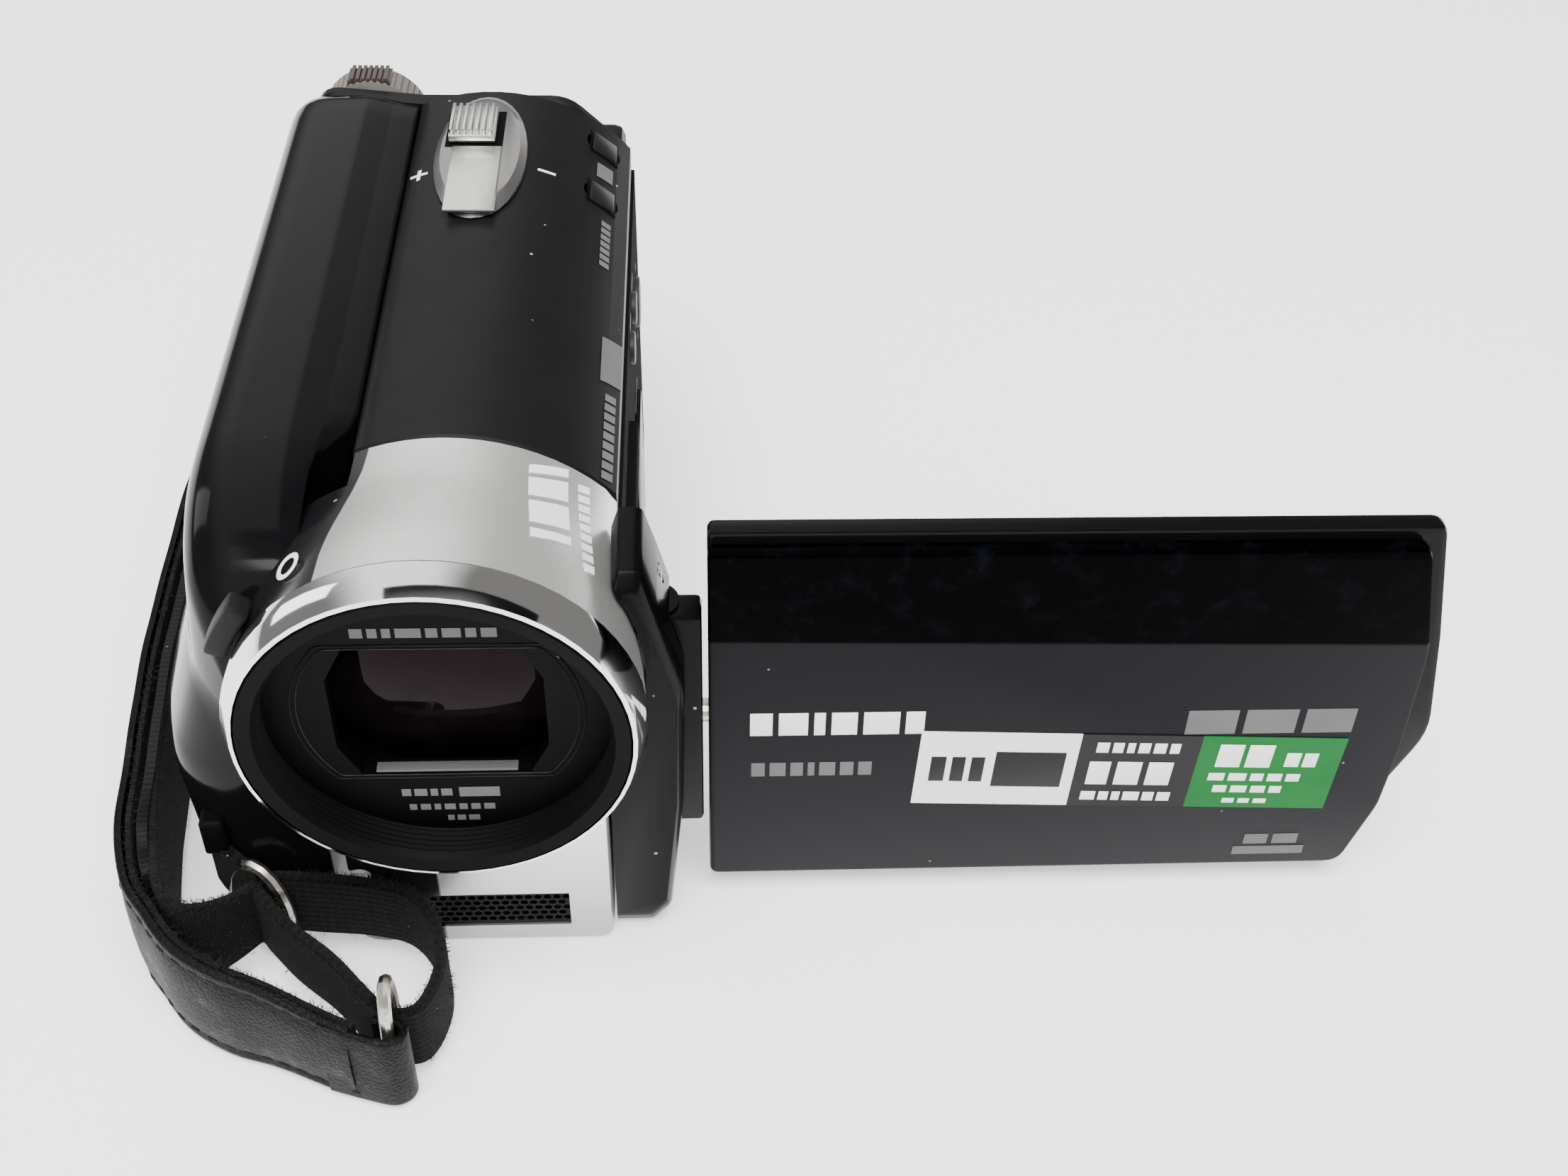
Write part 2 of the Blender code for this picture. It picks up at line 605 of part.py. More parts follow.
def oval(name, centre, tall, wide, across):
    """An oval wire ring standing upright, its flat side facing along a direction in plan."""
    count, around = 20, 8
    wire = 0.75
    middle = point(*centre)
    flat = Vector((across[0], across[1], 0)).normalized()
    rings = []
    for k in range(count):
        a = 2 * math.pi * k / count
        out = (flat * math.cos(a) * wide + Vector((0, 0, 1)) * math.sin(a) * tall) * MM
        away = (flat * math.cos(a) * tall + Vector((0, 0, 1)) * math.sin(a) * wide).normalized()
        side = flat.cross(Vector((0, 0, 1)))
        rings.append([
            middle + out + (away * math.cos(b) + side * math.sin(b)) * wire * MM
            for b in [2 * math.pi * j / around for j in range(around)]
        ])
    return loft(name, rings, STEEL, True)


clear_scene()
CAMCORDER = new_collection("camcorder")
CUTTERS = new_collection("cutters", hidden=True)

SILVER = plastic("silver paint", (0.62, 0.61, 0.60), 0.35, 0.7)
CHROME = plastic("chrome", (0.8, 0.8, 0.8), 0.08, 1.0)
SATIN = plastic("satin black", (0.03, 0.03, 0.032), 0.45)
GLOSS = plastic("gloss black", (0.015, 0.015, 0.017), 0.12)
BLACK = plastic("matte black", (0.012, 0.012, 0.013), 0.6)
GREY = plastic("grey plastic", (0.12, 0.12, 0.12), 0.5)
RUBBER = plastic("dark rubber", (0.06, 0.06, 0.065), 0.7)
STEEL = plastic("steel", (0.55, 0.54, 0.52), 0.3, 1.0)
GLASS = plastic("coated glass", (0.35, 0.3, 0.4), 0.03, 0.0, 0.6)
GLASS_DARK = plastic("screen glass", (0.02, 0.02, 0.025), 0.05)
GREEN = plastic("circuit board", (0.02, 0.16, 0.07), 0.5)
BLUE = plastic("card blue", (0.03, 0.08, 0.3), 0.4)
RED = plastic("record red", (0.5, 0.02, 0.02), 0.35)
WHITE = plastic("lamp white", (0.8, 0.8, 0.78), 0.25)
LEATHER = plastic("dark leather", (0.035, 0.035, 0.038), 0.55)
FABRIC = plastic("black webbing", (0.02, 0.02, 0.02), 0.9)

SIDE_BUTTONS = (
    ("menu_button", 70.0, 44.0, 2.2),
    ("delete_button", 79.0, 44.0, 2.2),
    ("select_stick", 92.0, 36.0, 3.6),
)
SCREWS = []

build_front_housing()
build_lens_front()
build_optics()
build_grip()
build_top_cover()
build_top_controls()
build_rear()
build_side()
build_shroud()
build_base()
build_inside()
build_front_details()
build_screen()
build_strap()
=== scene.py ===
# %% [markdown]
# # Finishing a camcorder
# This lesson dresses a finished CAD camcorder for a studio picture. The solids already stand in
# the right places, so the work is in the surfaces: paint, chrome, piano black, leather and tape.
# Small pieces that the solids only stand for, such as the hand strap and the knurled dial, are
# modelled here and ride on the same bodies.

import json
import math
import random

import bmesh
import bpy
from mathutils import Matrix, Vector


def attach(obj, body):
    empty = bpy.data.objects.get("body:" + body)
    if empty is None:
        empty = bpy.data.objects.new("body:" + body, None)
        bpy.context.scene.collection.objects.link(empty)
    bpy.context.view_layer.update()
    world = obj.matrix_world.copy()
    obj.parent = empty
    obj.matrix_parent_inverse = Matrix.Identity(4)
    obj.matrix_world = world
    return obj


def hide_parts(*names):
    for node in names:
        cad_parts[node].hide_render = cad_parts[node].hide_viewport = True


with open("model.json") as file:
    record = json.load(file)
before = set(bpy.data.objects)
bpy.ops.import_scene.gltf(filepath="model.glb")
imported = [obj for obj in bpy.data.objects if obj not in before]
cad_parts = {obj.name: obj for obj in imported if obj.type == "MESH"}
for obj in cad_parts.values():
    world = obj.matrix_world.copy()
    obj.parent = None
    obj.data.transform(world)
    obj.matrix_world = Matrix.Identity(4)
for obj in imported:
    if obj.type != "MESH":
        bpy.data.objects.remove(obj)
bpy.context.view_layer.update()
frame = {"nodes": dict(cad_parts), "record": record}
NODES = frame["nodes"]

# %% [markdown]
# A camcorder is easiest to measure from its lens. Every place below is given in millimetres as
# x toward the screen, a station counted back from the front of the lens ring, and a height above
# the table. One helper turns that into the model's metres.


# %% A place on the camcorder
def place(x, station, z):
    return Vector((x, station - 55.0, z)) / 1000


LENS_Z = 44.3
print("lens axis at", place(0, 0, LENS_Z))

# %% [markdown]
# The camera looks down on the front of the camcorder from close by, so the lens ring looks large
# and the back looks small. Its direction is worked out from a heading, a tilt and a slight roll.

# %% Camera
camera = bpy.data.objects.new("camera", bpy.data.cameras.new("camera"))
bpy.context.scene.collection.objects.link(camera)
bpy.context.scene.camera = camera
heading, tilt, roll = (math.radians(angle) for angle in (4.90, 42.80, 2.77))
ahead = Vector((math.sin(heading) * math.cos(tilt), math.cos(heading) * math.cos(tilt), -math.sin(tilt)))
across = Vector((math.cos(heading), -math.sin(heading), 0))
over = across.cross(ahead)
right = across * math.cos(roll) + over * math.sin(roll)
up = over * math.cos(roll) - across * math.sin(roll)
turned = Matrix((right, up, -ahead)).transposed().to_4x4()
camera.matrix_world = Matrix.Translation((0.02795, -0.19366, 0.19499)) @ turned
camera.data.lens, camera.data.sensor_width, camera.data.shift_x = 45.0, 36.0, -0.0279
camera.data.clip_start = 0.01
print("camera looks along", ahead)

# %% [markdown]
# The picture is a bright catalogue shot: a white table, a white surround and two large soft
# lamps. Glossy black shows only what it mirrors, so the lamps are placed to draw long pale
# streaks on the hull and the ring. A small black flag overhead gives the chrome
# something dark to mirror, as photographers do with bright metal.


# %% Table and lamps
def lamp(name, spot, aim, size, power):
    data = bpy.data.lights.new(name, "AREA")
    data.shape, data.size, data.size_y, data.energy = "RECTANGLE", size[0], size[1], power
    made = bpy.data.objects.new(name, data)
    bpy.context.scene.collection.objects.link(made)
    made.location = spot
    made.rotation_euler = (Vector(aim) - Vector(spot)).to_track_quat("-Z", "Y").to_euler()


def board(name, coat, size, spot, **sockets):
    """A flat plane of the studio in one plain material."""
    bpy.ops.mesh.primitive_plane_add(size=size, location=spot)
    made = bpy.context.object
    made.name = name
    plain = bpy.data.materials.new(coat)
    plain.use_nodes = True
    for socket, value in sockets.items():
        plain.node_tree.nodes["Principled BSDF"].inputs[socket.replace("_", " ")].default_value = value
    made.data.materials.append(plain)
    return made


TABLE_Z = -0.0002
FLAG_SPOT, FLAG_SIZE = (0.16, -0.10, 0.42), (0.62, 0.22, 1)
lamp("ceiling_lamp", (0.05, -0.35, 0.95), (0, 0, 0), (0.8, 0.6), 24.0)
lamp("window_lamp", (-0.75, 0.35, 0.40), (0, 0, 0.03), (0.22, 0.5), 1.2)
white = {"Base_Color": (0.86, 0.86, 0.86, 1), "Emission_Color": (1, 1, 1, 1), "Emission_Strength": 0.7}
table = board("table", "white_table", 6, (0, 0, TABLE_Z), Roughness=0.7, Specular_IOR_Level=0.2, **white)
black = {"Base_Color": (0.004, 0.004, 0.004, 1), "Specular_IOR_Level": 0.0}
flag = board("black_flag", "flag_felt", 1, FLAG_SPOT, **black)
flag.scale = FLAG_SIZE
flag.visible_diffuse = flag.visible_shadow = False

# %% [markdown]
# Every finish is a little recipe of nodes. Wiring them by hand is slow, so one small class wraps
# a socket: sums written on it become Math nodes, and its one method adds any other node.


# %% Sums on sockets
class Wire:
    """A socket in a finish. Sums on it add Math nodes, and node() adds any other node."""

    def __init__(self, tree, socket=None):
        self.tree, self.socket = tree, socket

    def node(self, kind, settings, sockets, out=0):
        made = self.tree.nodes.new("ShaderNode" + kind)
        for name, value in settings.items():
            setattr(made, name, value)
        for name, value in sockets.items():
            if isinstance(value, Wire):
                self.tree.links.new(value.socket, made.inputs[name])
            else:
                made.inputs[name].default_value = value
        return Wire(self.tree, made.outputs[out])

    def sum(self, operation, first, second=0.0):
        return self.node("Math", {"operation": operation}, {0: first, 1: second})

    def __add__(self, other):
        return self.sum("ADD", self, other)

    def __sub__(self, other):
        return self.sum("SUBTRACT", self, other)

    def __rsub__(self, other):
        return self.sum("SUBTRACT", other, self)

    def __mul__(self, other):
        return self.sum("MULTIPLY", self, other)

    def __gt__(self, other):
        return self.sum("GREATER_THAN", self, other)

    __radd__, __rmul__ = __add__, __mul__


print("Wire knows", [name for name in vars(Wire) if name.startswith("__r")])

# %% [markdown]
# A few patterns come back in every finish: cloudy noise, dust specks, a soft step between two
# values, and a colour mixed from two others. Each is a short function that returns a Wire.


# %% Patterns
def spot_on_piece(tree):
    return Wire(tree).node("TexCoord", {}, {}, "Object")


def cloud(where, size, detail=3.0, rough=0.5):
    """Noise from 0 to 1 whose lumps are about size millimetres across."""
    grain = {"Vector": where, "Scale": 1000 / size, "Detail": detail, "Roughness": rough}
    return where.node("TexNoise", {}, grain, "Fac")


def step(value, low, high):
    """0 below low, 1 above high, and smooth between."""
    span = {"Value": value, "From Min": low, "From Max": high}
    return value.node("MapRange", {"interpolation_type": "SMOOTHSTEP"}, span)


def between(value, low, high, soft):
    return step(value, low - soft, low + soft) * (1 - step(value, high - soft, high + soft))


def tint(share, first, second):
    """A colour that goes from first to second as share goes from 0 to 1."""
    ends = {6: first, 7: second}
    colours = {number: end if isinstance(end, Wire) else (*end, 1) for number, end in ends.items()}
    return share.node("Mix", {"data_type": "RGBA"}, {0: share, **colours}, 2)


def dust(where, size, amount):
    """Scattered specks: a few cells of a Voronoi pattern keep a small dot."""
    cells = {"Vector": where, "Scale": 1000 / size, "Randomness": 1.0}
    far = where.node("TexVoronoi", {}, cells, "Distance")
    pick = where.node("SeparateColor", {}, {"Color": where.node("TexVoronoi", {}, cells, "Color")}, "Red")
    return (1 - step(far, 0.03, 0.06)) * (pick > 1 - amount)


print("patterns ready")

# %% [markdown]
# An even white room makes metal look like card. Real rooms are brighter overhead than at the
# sides, so the room's light is a soft band overhead, with a weaker glow from the front, and the
# rest falls off to grey. That gives the silver barrel its bright middle and darker flanks.

# %% Room light
world = bpy.data.worlds.new("pale room")
bpy.context.scene.world = world
world.use_nodes = True
sky = Wire(world.node_tree).node("TexCoord", {}, {}, "Generated")
aside, back, rise = (sky.node("SeparateXYZ", {}, {"Vector": sky}, name) for name in "XYZ")
ROOM, BAND, FRONT = 0.24, 1.45, 0.25
band = (1 - step(sky.sum("ABSOLUTE", aside + 0.24), 0.16, 0.54)) * step(rise, 0.05, 0.5)
glow = ROOM + band * BAND + (1 - step(back, -0.5, 0.1)) * FRONT
world.node_tree.links.new(glow.socket, world.node_tree.nodes["Background"].inputs["Strength"])
world.node_tree.nodes["Background"].inputs["Color"].default_value = (1.0, 0.99, 0.98, 1)
print("room from", ROOM, "to", ROOM + BAND + FRONT)

# %% [markdown]
# A finish ends in one Principled shader. What varies over the surface is wired into its colour,
# roughness and bump, and what is the same all over is set straight on its sockets.


# %% From pattern to finish
FINISHES = {}


def principled(tree, colour, rough, bump=None, depth=0.05, metal=0.0, **fixed):
    """One shader. bump is a height from 0 to 1, and depth is that height in millimetres."""
    shader = tree.nodes.new("ShaderNodeBsdfPrincipled")
    for socket, value in (("Base Color", colour), ("Roughness", rough), ("Metallic", metal)):
        if isinstance(value, Wire):
            tree.links.new(value.socket, shader.inputs[socket])
        else:
            shader.inputs[socket].default_value = value
    if bump is not None:
        height = {"Height": bump, "Distance": depth / 1000, "Strength": 1.0}
        tree.links.new(bump.node("Bump", {}, height, "Normal").socket, shader.inputs["Normal"])
    for socket, value in fixed.items():
        shader.inputs[socket.replace("_", " ")].default_value = value
    return shader.outputs[0]


def put_out(name, socket):
    tree = FINISHES[name].node_tree
    tree.links.new(socket, tree.nodes.new("ShaderNodeOutputMaterial").inputs[0])


def finish(name, *recipe, **fixed):
    """Ends a recipe in one shader, which goes to the output."""
    put_out(name, principled(FINISHES[name].node_tree, *recipe, **fixed))


def begin(name):
    FINISHES[name] = bpy.data.materials.new(name)
    FINISHES[name].use_nodes = True
    FINISHES[name].node_tree.nodes.clear()
    return spot_on_piece(FINISHES[name].node_tree)


def axis(where, name):
    return where.node("SeparateXYZ", {}, {"Vector": where}, name)


# %% [markdown]
# The barrel wears silver paint: fine metal flakes in a clear lacquer. Very small noise gives the
# flakes, a wide noise gives the slight change of tone, and the satin roughness keeps the
# reflections long and soft. Toward the grip the paint stops, and the barrel goes on in black.

# %% Silver paint
where = begin("silver_paint")
flake = cloud(where, 0.12, 2)
wide = cloud(where, 14)
shade = tint(step(flake * 0.7 + wide * 0.3, 0.3, 0.75), (0.70, 0.69, 0.675), (0.90, 0.89, 0.87))
x, y, z = (axis(where, name) for name in "XYZ")
turn = where.sum("ARCTAN2", x * -1, z - LENS_Z / 1000)
edge = 0.50 + step(y, -0.046, -0.027) * -0.06
black = step(turn, edge - 0.008, edge + 0.008)
below = between(z, -0.01, 0.0242, 0.0004) * (1 - step(x, -0.0038, -0.0034))
# Below 26 mm height the silver is tinted much darker toward the table: a painted shade on the lower front.
shade = tint(step(z, 0.0, 0.026), tint(wide, (0.34, 0.335, 0.33), (0.46, 0.455, 0.45)), shade)
black = where.sum("MAXIMUM", black * step(z, 0.024, 0.0244), below)
speck = dust(where, 5, 0.3)
paint = tint(black, shade, tint(speck, (0.008, 0.008, 0.009), (0.25, 0.24, 0.22)))
finish(
    "silver_paint",
    paint,
    (0.30 + cloud(where, 6) * 0.08) * (1 - black) + black * 0.16,
    flake,
    0.004,
    (1 - black) * 0.85,
    Coat_Weight=0.25,
    Coat_Roughness=0.12,
)
print("silver paint with", len(FINISHES["silver_paint"].node_tree.nodes), "nodes")

# %% [markdown]
# The ring is chrome plate. It is nearly a mirror, so what makes it look real is a faint haze of
# handling: roughness that drifts a little, and hair-fine scratches round the rim.

# %% Chrome
where = begin("chrome")
haze = cloud(where, 9, 4)
scratch = step(cloud(where, 0.35, 5, 0.7), 0.68, 0.8)
finish(
    "chrome",
    tint(haze, (0.78, 0.775, 0.765), (0.88, 0.875, 0.865)),
    0.045 + haze * 0.05 + scratch * 0.08,
    cloud(where, 18),
    0.02,
    1.0,
)
where = begin("bright_bar")
brushed = tint(cloud(where, 0.2), (0.72, 0.71, 0.69), (0.86, 0.85, 0.83))
finish("bright_bar", brushed, 0.16 + cloud(where, 3) * 0.1, cloud(where, 0.3), 0.003, 1.0)
where = begin("steel")
worn = step(cloud(where, 1.4, 6, 0.65), 0.42, 0.62)
finish(
    "steel",
    tint(worn, (0.50, 0.46, 0.40), (0.68, 0.66, 0.62)),
    0.34 - worn * 0.12 + cloud(where, 0.3) * 0.06,
    cloud(where, 0.5, 4),
    0.02,
    1.0,
)
where = begin("pod_silver")
# The pod is silver paint like the barrel; its much darker silver is a painted dark reflection.
brushed = tint(cloud(where, 0.15), (0.20, 0.195, 0.19), (0.34, 0.33, 0.32))
finish("pod_silver", brushed, 0.24 + cloud(where, 3) * 0.08, cloud(where, 0.2), 0.003, 0.9)
print("chrome, bright bar, worn nickel and pod silver")


# %% [markdown]
# Most of the body is black plastic, in several grades. The top cover is satin, with a fine spark
# etched texture. The hull is piano black, with dust and fingerprints that only show in the gloss.
# The screen cover mixes two shaders along a slanting line, as a painted reflection: glossy and nearly black above
# it for a dark reflection, and a lighter grey, rougher shader below it for a pale one. The inside of the lens is
# dead matte, so that it throws no light onto the glass.


# %% Black plastics
def plastic(name, dark, light, rough, grain, depth, dusty, specular=0.5, **fixed):
    """grain and depth are the texture's size and height in millimetres, dusty a share of cells."""
    where = begin(name)
    fine = cloud(where, grain, 3)
    speck = dust(where, 4.5, dusty)
    smear = step(cloud(where, 11, 5, 0.6), 0.5, 0.8)
    finish(
        name,
        tint(speck, tint(cloud(where, 7), dark, light), (0.32, 0.31, 0.29)),
        rough + fine * 0.06 + smear * 0.07 + speck * 0.3,
        fine + speck * 2.0,
        depth,
        Specular_IOR_Level=specular,
        **fixed,
    )


PLASTICS = {
    "satin_black": ((0.0052, 0.0052, 0.0056), (0.0078, 0.0078, 0.0083), 0.34, 0.25, 0.003, 0.45, 0.085),
    "gloss_black": ((0.0025, 0.0025, 0.003), (0.004, 0.004, 0.0045), 0.07, 3.0, 0.002, 0.2, 0.085),
    "shroud_black": ((0.0014, 0.0015, 0.0017), (0.0025, 0.0025, 0.003), 0.15, 1.2, 0.003, 0.2, 0.07),
    "matte_black": ((0.0008, 0.0008, 0.0009), (0.0016, 0.0016, 0.0018), 0.55, 0.2, 0.006, 0.08, 0.06),
    "key_grey": ((0.022, 0.022, 0.023), (0.032, 0.032, 0.034), 0.4, 0.3, 0.004, 0.1, 0.3),
    "panel_black": ((0.006, 0.006, 0.0065), (0.0095, 0.0095, 0.010), 0.84, 0.3, 0.01, 0.1, 0.02),
    "button_black": ((0.004, 0.004, 0.005), (0.008, 0.008, 0.009), 0.34, 0.3, 0.003, 0.1, 0.3),
    "grey_plastic": ((0.07, 0.068, 0.065), (0.095, 0.092, 0.088), 0.42, 0.25, 0.01, 0.05),
    "dial_brown": ((0.030, 0.022, 0.020), (0.045, 0.034, 0.030), 0.38, 0.3, 0.01, 0.2),
    "dial_taupe": ((0.11, 0.10, 0.092), (0.16, 0.147, 0.135), 0.38, 0.3, 0.01, 0.2),
    "dark_rubber": ((0.005, 0.005, 0.0055), (0.009, 0.009, 0.0095), 0.5, 0.15, 0.012, 0.1, 0.15),
    "record_red": ((0.045, 0.0008, 0.0008), (0.065, 0.0012, 0.0012), 0.34, 0.4, 0.005, 0.05, 0.15),
    "card_blue": ((0.012, 0.03, 0.16), (0.02, 0.045, 0.22), 0.4, 0.4, 0.005, 0.05),
    "print_white": ((0.74, 0.74, 0.72), (0.86, 0.86, 0.84), 0.45, 0.3, 0.006, 0.05),
    "sticker_green": ((0.003, 0.10, 0.018), (0.005, 0.14, 0.027), 0.45, 0.5, 0.006, 0.1, 0.1),
    "sticker_dark": ((0.007, 0.007, 0.008), (0.012, 0.012, 0.013), 0.45, 0.5, 0.006, 0.1, 0.15),
    "print_grey": ((0.085, 0.086, 0.09), (0.12, 0.12, 0.125), 0.45, 0.4, 0.004, 0.05, 0.2),
}
for name, recipe in PLASTICS.items():
    plastic(name, *recipe)
plastic("lamp_white", (0.62, 0.62, 0.6), (0.75, 0.75, 0.72), 0.2, 0.6, 0.004, 0.0, Coat_Weight=0.4)

where = begin("screen_black")
# The slanting line splits a painted reflection: below it a lighter grey, rougher shader with more specular stands
# for a pale reflection, above it a nearly black shader with little specular stands for a dark one.
painted_reflection_mask = 1 - step(axis(where, "Z") + axis(where, "X") * 0.02, 0.0436, 0.0442)
smear = step(cloud(where, 5, 6, 0.7), 0.5, 0.75)
speck = dust(where, 3.5, 0.3)
# The lower colour is lighter than the plastic as a painted reflection; its specks are dust.
dusty = tint(speck, (0.0028, 0.003, 0.0045), (0.2, 0.2, 0.2))
handled = tint(smear * 0.5, (0.0003, 0.0003, 0.0004), (0.004, 0.0048, 0.009))
wave = cloud(where, 9)
painted_reflection_grey = principled(where.tree, dusty, 0.34 + speck * 0.3, wave + speck, 0.002, Specular_IOR_Level=0.075)
painted_reflection_black = principled(where.tree, handled, 0.05 + smear * 0.2, wave, 0.001, Specular_IOR_Level=0.012)
mixed = where.tree.nodes.new("ShaderNodeMixShader")
for number, socket in enumerate((painted_reflection_mask.socket, painted_reflection_black, painted_reflection_grey)):
    where.tree.links.new(socket, mixed.inputs[number])
put_out("screen_black", mixed.outputs[0])
print(len(FINISHES), "finishes so far")

# %% [markdown]
# The front lens carries a purple coating that kills reflections, so the glass looks like a dark
# plum pool. The screen is a dark pane. The circuit board hides inside, and still gets its green
# mask with a faint grid of tracks.

# %% Glass and board
where = begin("coated_glass")
depth_tone = step(cloud(where, 6), 0.2, 0.8)
finish(
    "coated_glass",
    tint(depth_tone, (0.002, 0.0015, 0.002), (0.006, 0.004, 0.005)),
    0.02 + cloud(where, 4) * 0.04,
    cloud(where, 30),
    0.001,
    Specular_Tint=(0.95, 0.62, 0.70, 1),
    Specular_IOR_Level=0.07,
)
where = begin("screen_glass")
finish(
    "screen_glass",
    tint(cloud(where, 20), (0.008, 0.009, 0.012), (0.013, 0.014, 0.018)),
    0.05 + step(cloud(where, 12, 5), 0.45, 0.8) * 0.1,
    cloud(where, 15),
    0.003,
    Coat_Weight=0.5,
)
where = begin("circuit_board")
track = where.node("TexBrick", {}, {"Vector": where, "Scale": 260.0, "Mortar Size": 0.03}, "Fac")
mask = tint(track, (0.008, 0.075, 0.03), (0.02, 0.16, 0.06))
finish("circuit_board", mask, 0.3 + cloud(where, 1) * 0.1, track, 0.03)
print("glass and board")

# %% [markdown]
# The strap is dark leather outside, knitted lining inside and looped tape between. Leather grain
# is a Voronoi pattern of small pebbles over larger creases. Both kinds of cloth follow the strip,
# so they read its UV map, which is laid out in metres along the strap and up its side.

# %% Leather and tape
where = begin("leather")
cells = {"Vector": where, "Scale": 1350.0}
pebble = where.node("TexVoronoi", {"feature": "DISTANCE_TO_EDGE"}, cells, "Distance")
crease = cloud(where, 3.5, 6, 0.65)
grain = step(pebble, 0.0, 0.22) * 0.5 + crease * 0.8
worn = step(crease, 0.52, 0.72)
finish(
    "leather",
    tint(worn, (0.0014, 0.0014, 0.0016), (0.006, 0.006, 0.007)),
    0.46 - worn * 0.12 + cloud(where, 0.4) * 0.1,
    grain,
    0.10,
    Specular_IOR_Level=0.11,
)


def woven(name, dark, light, across_mm, along_mm, depth, sheen):
    where = begin(name)
    uv = where.node("TexCoord", {}, {}, "UV")
    u, v = axis(uv, "X"), axis(uv, "Y")
    row = where.sum("SINE", v * (2 * math.pi / across_mm * 1000))
    along = where.sum("SINE", u * (2 * math.pi / along_mm * 1000) + row * 1.4)
    thread = (row * 0.5 + 0.5) * 0.6 + (along * 0.5 + 0.5) * 0.4
    fuzz = cloud(where, 0.18, 5, 0.75)
    lint = dust(where, 2.2, 0.25)
    finish(
        name,
        tint(lint, tint(step(thread * 0.5 + fuzz * 0.6, 0.35, 0.85), dark, light), (0.20, 0.20, 0.20)),
        0.85 + fuzz * 0.1,
        thread * 0.6 + fuzz,
        depth,
        Sheen_Weight=sheen,
        Sheen_Roughness=0.4,
        Specular_IOR_Level=0.1,
    )


woven("webbing", (0.0012, 0.0012, 0.0012), (0.009, 0.009, 0.0095), 0.9, 1.1, 0.22, 0.025)
woven("velvet_tape", (0.0012, 0.0012, 0.0012), (0.010, 0.010, 0.0105), 0.5, 0.5, 0.35, 0.0375)
woven("lining", (0.003, 0.003, 0.0035), (0.016, 0.016, 0.017), 0.7, 0.8, 0.15, 0.025)
woven("thread", (0.008, 0.008, 0.008), (0.03, 0.03, 0.03), 0.2, 0.3, 0.03, 0.025)
where = begin("velvet_fibre")
fibre = tint(cloud(where, 0.8), (0.004, 0.004, 0.004), (0.03, 0.03, 0.03))
finish("velvet_fibre", fibre, 0.8 + cloud(where, 0.3) * 0.1, Specular_IOR_Level=0.1)
where = begin("label_grey")
paper = tint(cloud(where, 4), (0.10, 0.10, 0.105), (0.15, 0.15, 0.155))
finish("label_grey", paper, 0.4 + cloud(where, 0.4) * 0.1, cloud(where, 0.3), 0.004)
print("leather, webbing, velvet tape, lining, thread, fibre and label")

# %% [markdown]
# Each solid now gets the finish that its real counterpart has. A list of names per finish is
# easier to check than sixty separate lines, and the last line shows that none was missed.

# %% Dress the solids
DRESS = {
    "silver_paint": "front_housing",
    "pod_silver": "zoom_pod",
    "chrome": "lens_ring",
    "satin_black": "top_cover rear_cover base_plate card_door battery",
    "panel_black": "side_panel",
    "shroud_black": "hinge_shroud hinge_block terminal_cover",
    "gloss_black": "grip_shell screen_frame",
    "screen_black": "screen_cover",
    "matte_black": "lens_face_ring lens_mask lens_tube zoom_group focus_group card_slot strap_anchor_front "
    "strap_anchor_rear cover_blade_upper cover_blade_lower",
    "grey_plastic": "top_button_front top_button_rear battery_latch mic_grille",
    "key_grey": "menu_button delete_button select_stick screen_key_1 screen_key_2 screen_key_3",
    "dial_taupe": "mode_dial",
    "dark_rubber": "cover_lever",
    "steel": "guide_rod_left guide_rod_right hinge_pin tilt_pin tripod_socket base_screw_1 base_screw_2 "
    "hard_drive microphone_left microphone_right screen_module strap_ring_front strap_ring_rear",
    "bright_bar": "zoom_lever",
    "coated_glass": "front_lens",
    "screen_glass": "screen_glass",
    "circuit_board": "main_board image_sensor",
    "card_blue": "memory_card",
    "record_red": "record_button",
    "lamp_white": "status_lamp",
    "leather": "strap_pad",
    "webbing": "strap_webbing",
}
for name, names in DRESS.items():
    for node in names.split():
        NODES[node].data.materials.clear()
        NODES[node].data.materials.append(FINISHES[name])
left = set(NODES) - set(" ".join(DRESS.values()).split())
print("not dressed:", sorted(left))

# %% [markdown]
# New pieces are made with the same operators as by hand. Short helpers save repetition: they
# select one piece, add a block from its corners, join blocks, turn a piece round a line that runs
# from front to back, and take one piece out of another. The last one rounds a piece's edges,
# gives it its name and finish, and lets it ride on its body.


# %% Making a piece
def deselect():
    if bpy.context.object and bpy.context.object.mode != "OBJECT":
        bpy.ops.object.mode_set(mode="OBJECT")
    bpy.ops.object.select_all(action="DESELECT")


def pick(piece):
    deselect()
    piece.select_set(True)
    bpy.context.view_layer.objects.active = piece


def bake_in():
    """Moves the selected piece's place, turn and scale into its mesh."""
    bpy.ops.object.transform_apply(location=True, rotation=True, scale=True)


def block(x, station, z):
    """A block between two values of x, of station and of height, in millimetres."""
    deselect()
    low, high = place(x[0], station[0], z[0]), place(x[1], station[1], z[1])
    bpy.ops.mesh.primitive_cube_add(size=1, location=(low + high) / 2)
    bpy.context.object.scale = high - low
    bake_in()
    return bpy.context.object


def disc(x, station, z, radius, depth, sides):
    """A cylinder that looks forward. Its radius and depth are in millimetres."""
    deselect()
    size = {"vertices": sides, "radius": radius / 1000, "depth": depth / 1000}
    bpy.ops.mesh.primitive_cylinder_add(location=place(x, station, z), rotation=(math.pi / 2, 0, 0), **size)
    return bpy.context.object


def join(pieces):
    deselect()
    for piece in pieces:
        piece.select_set(True)
    bpy.context.view_layer.objects.active = pieces[0]
    bpy.ops.object.join()
    return bpy.context.object


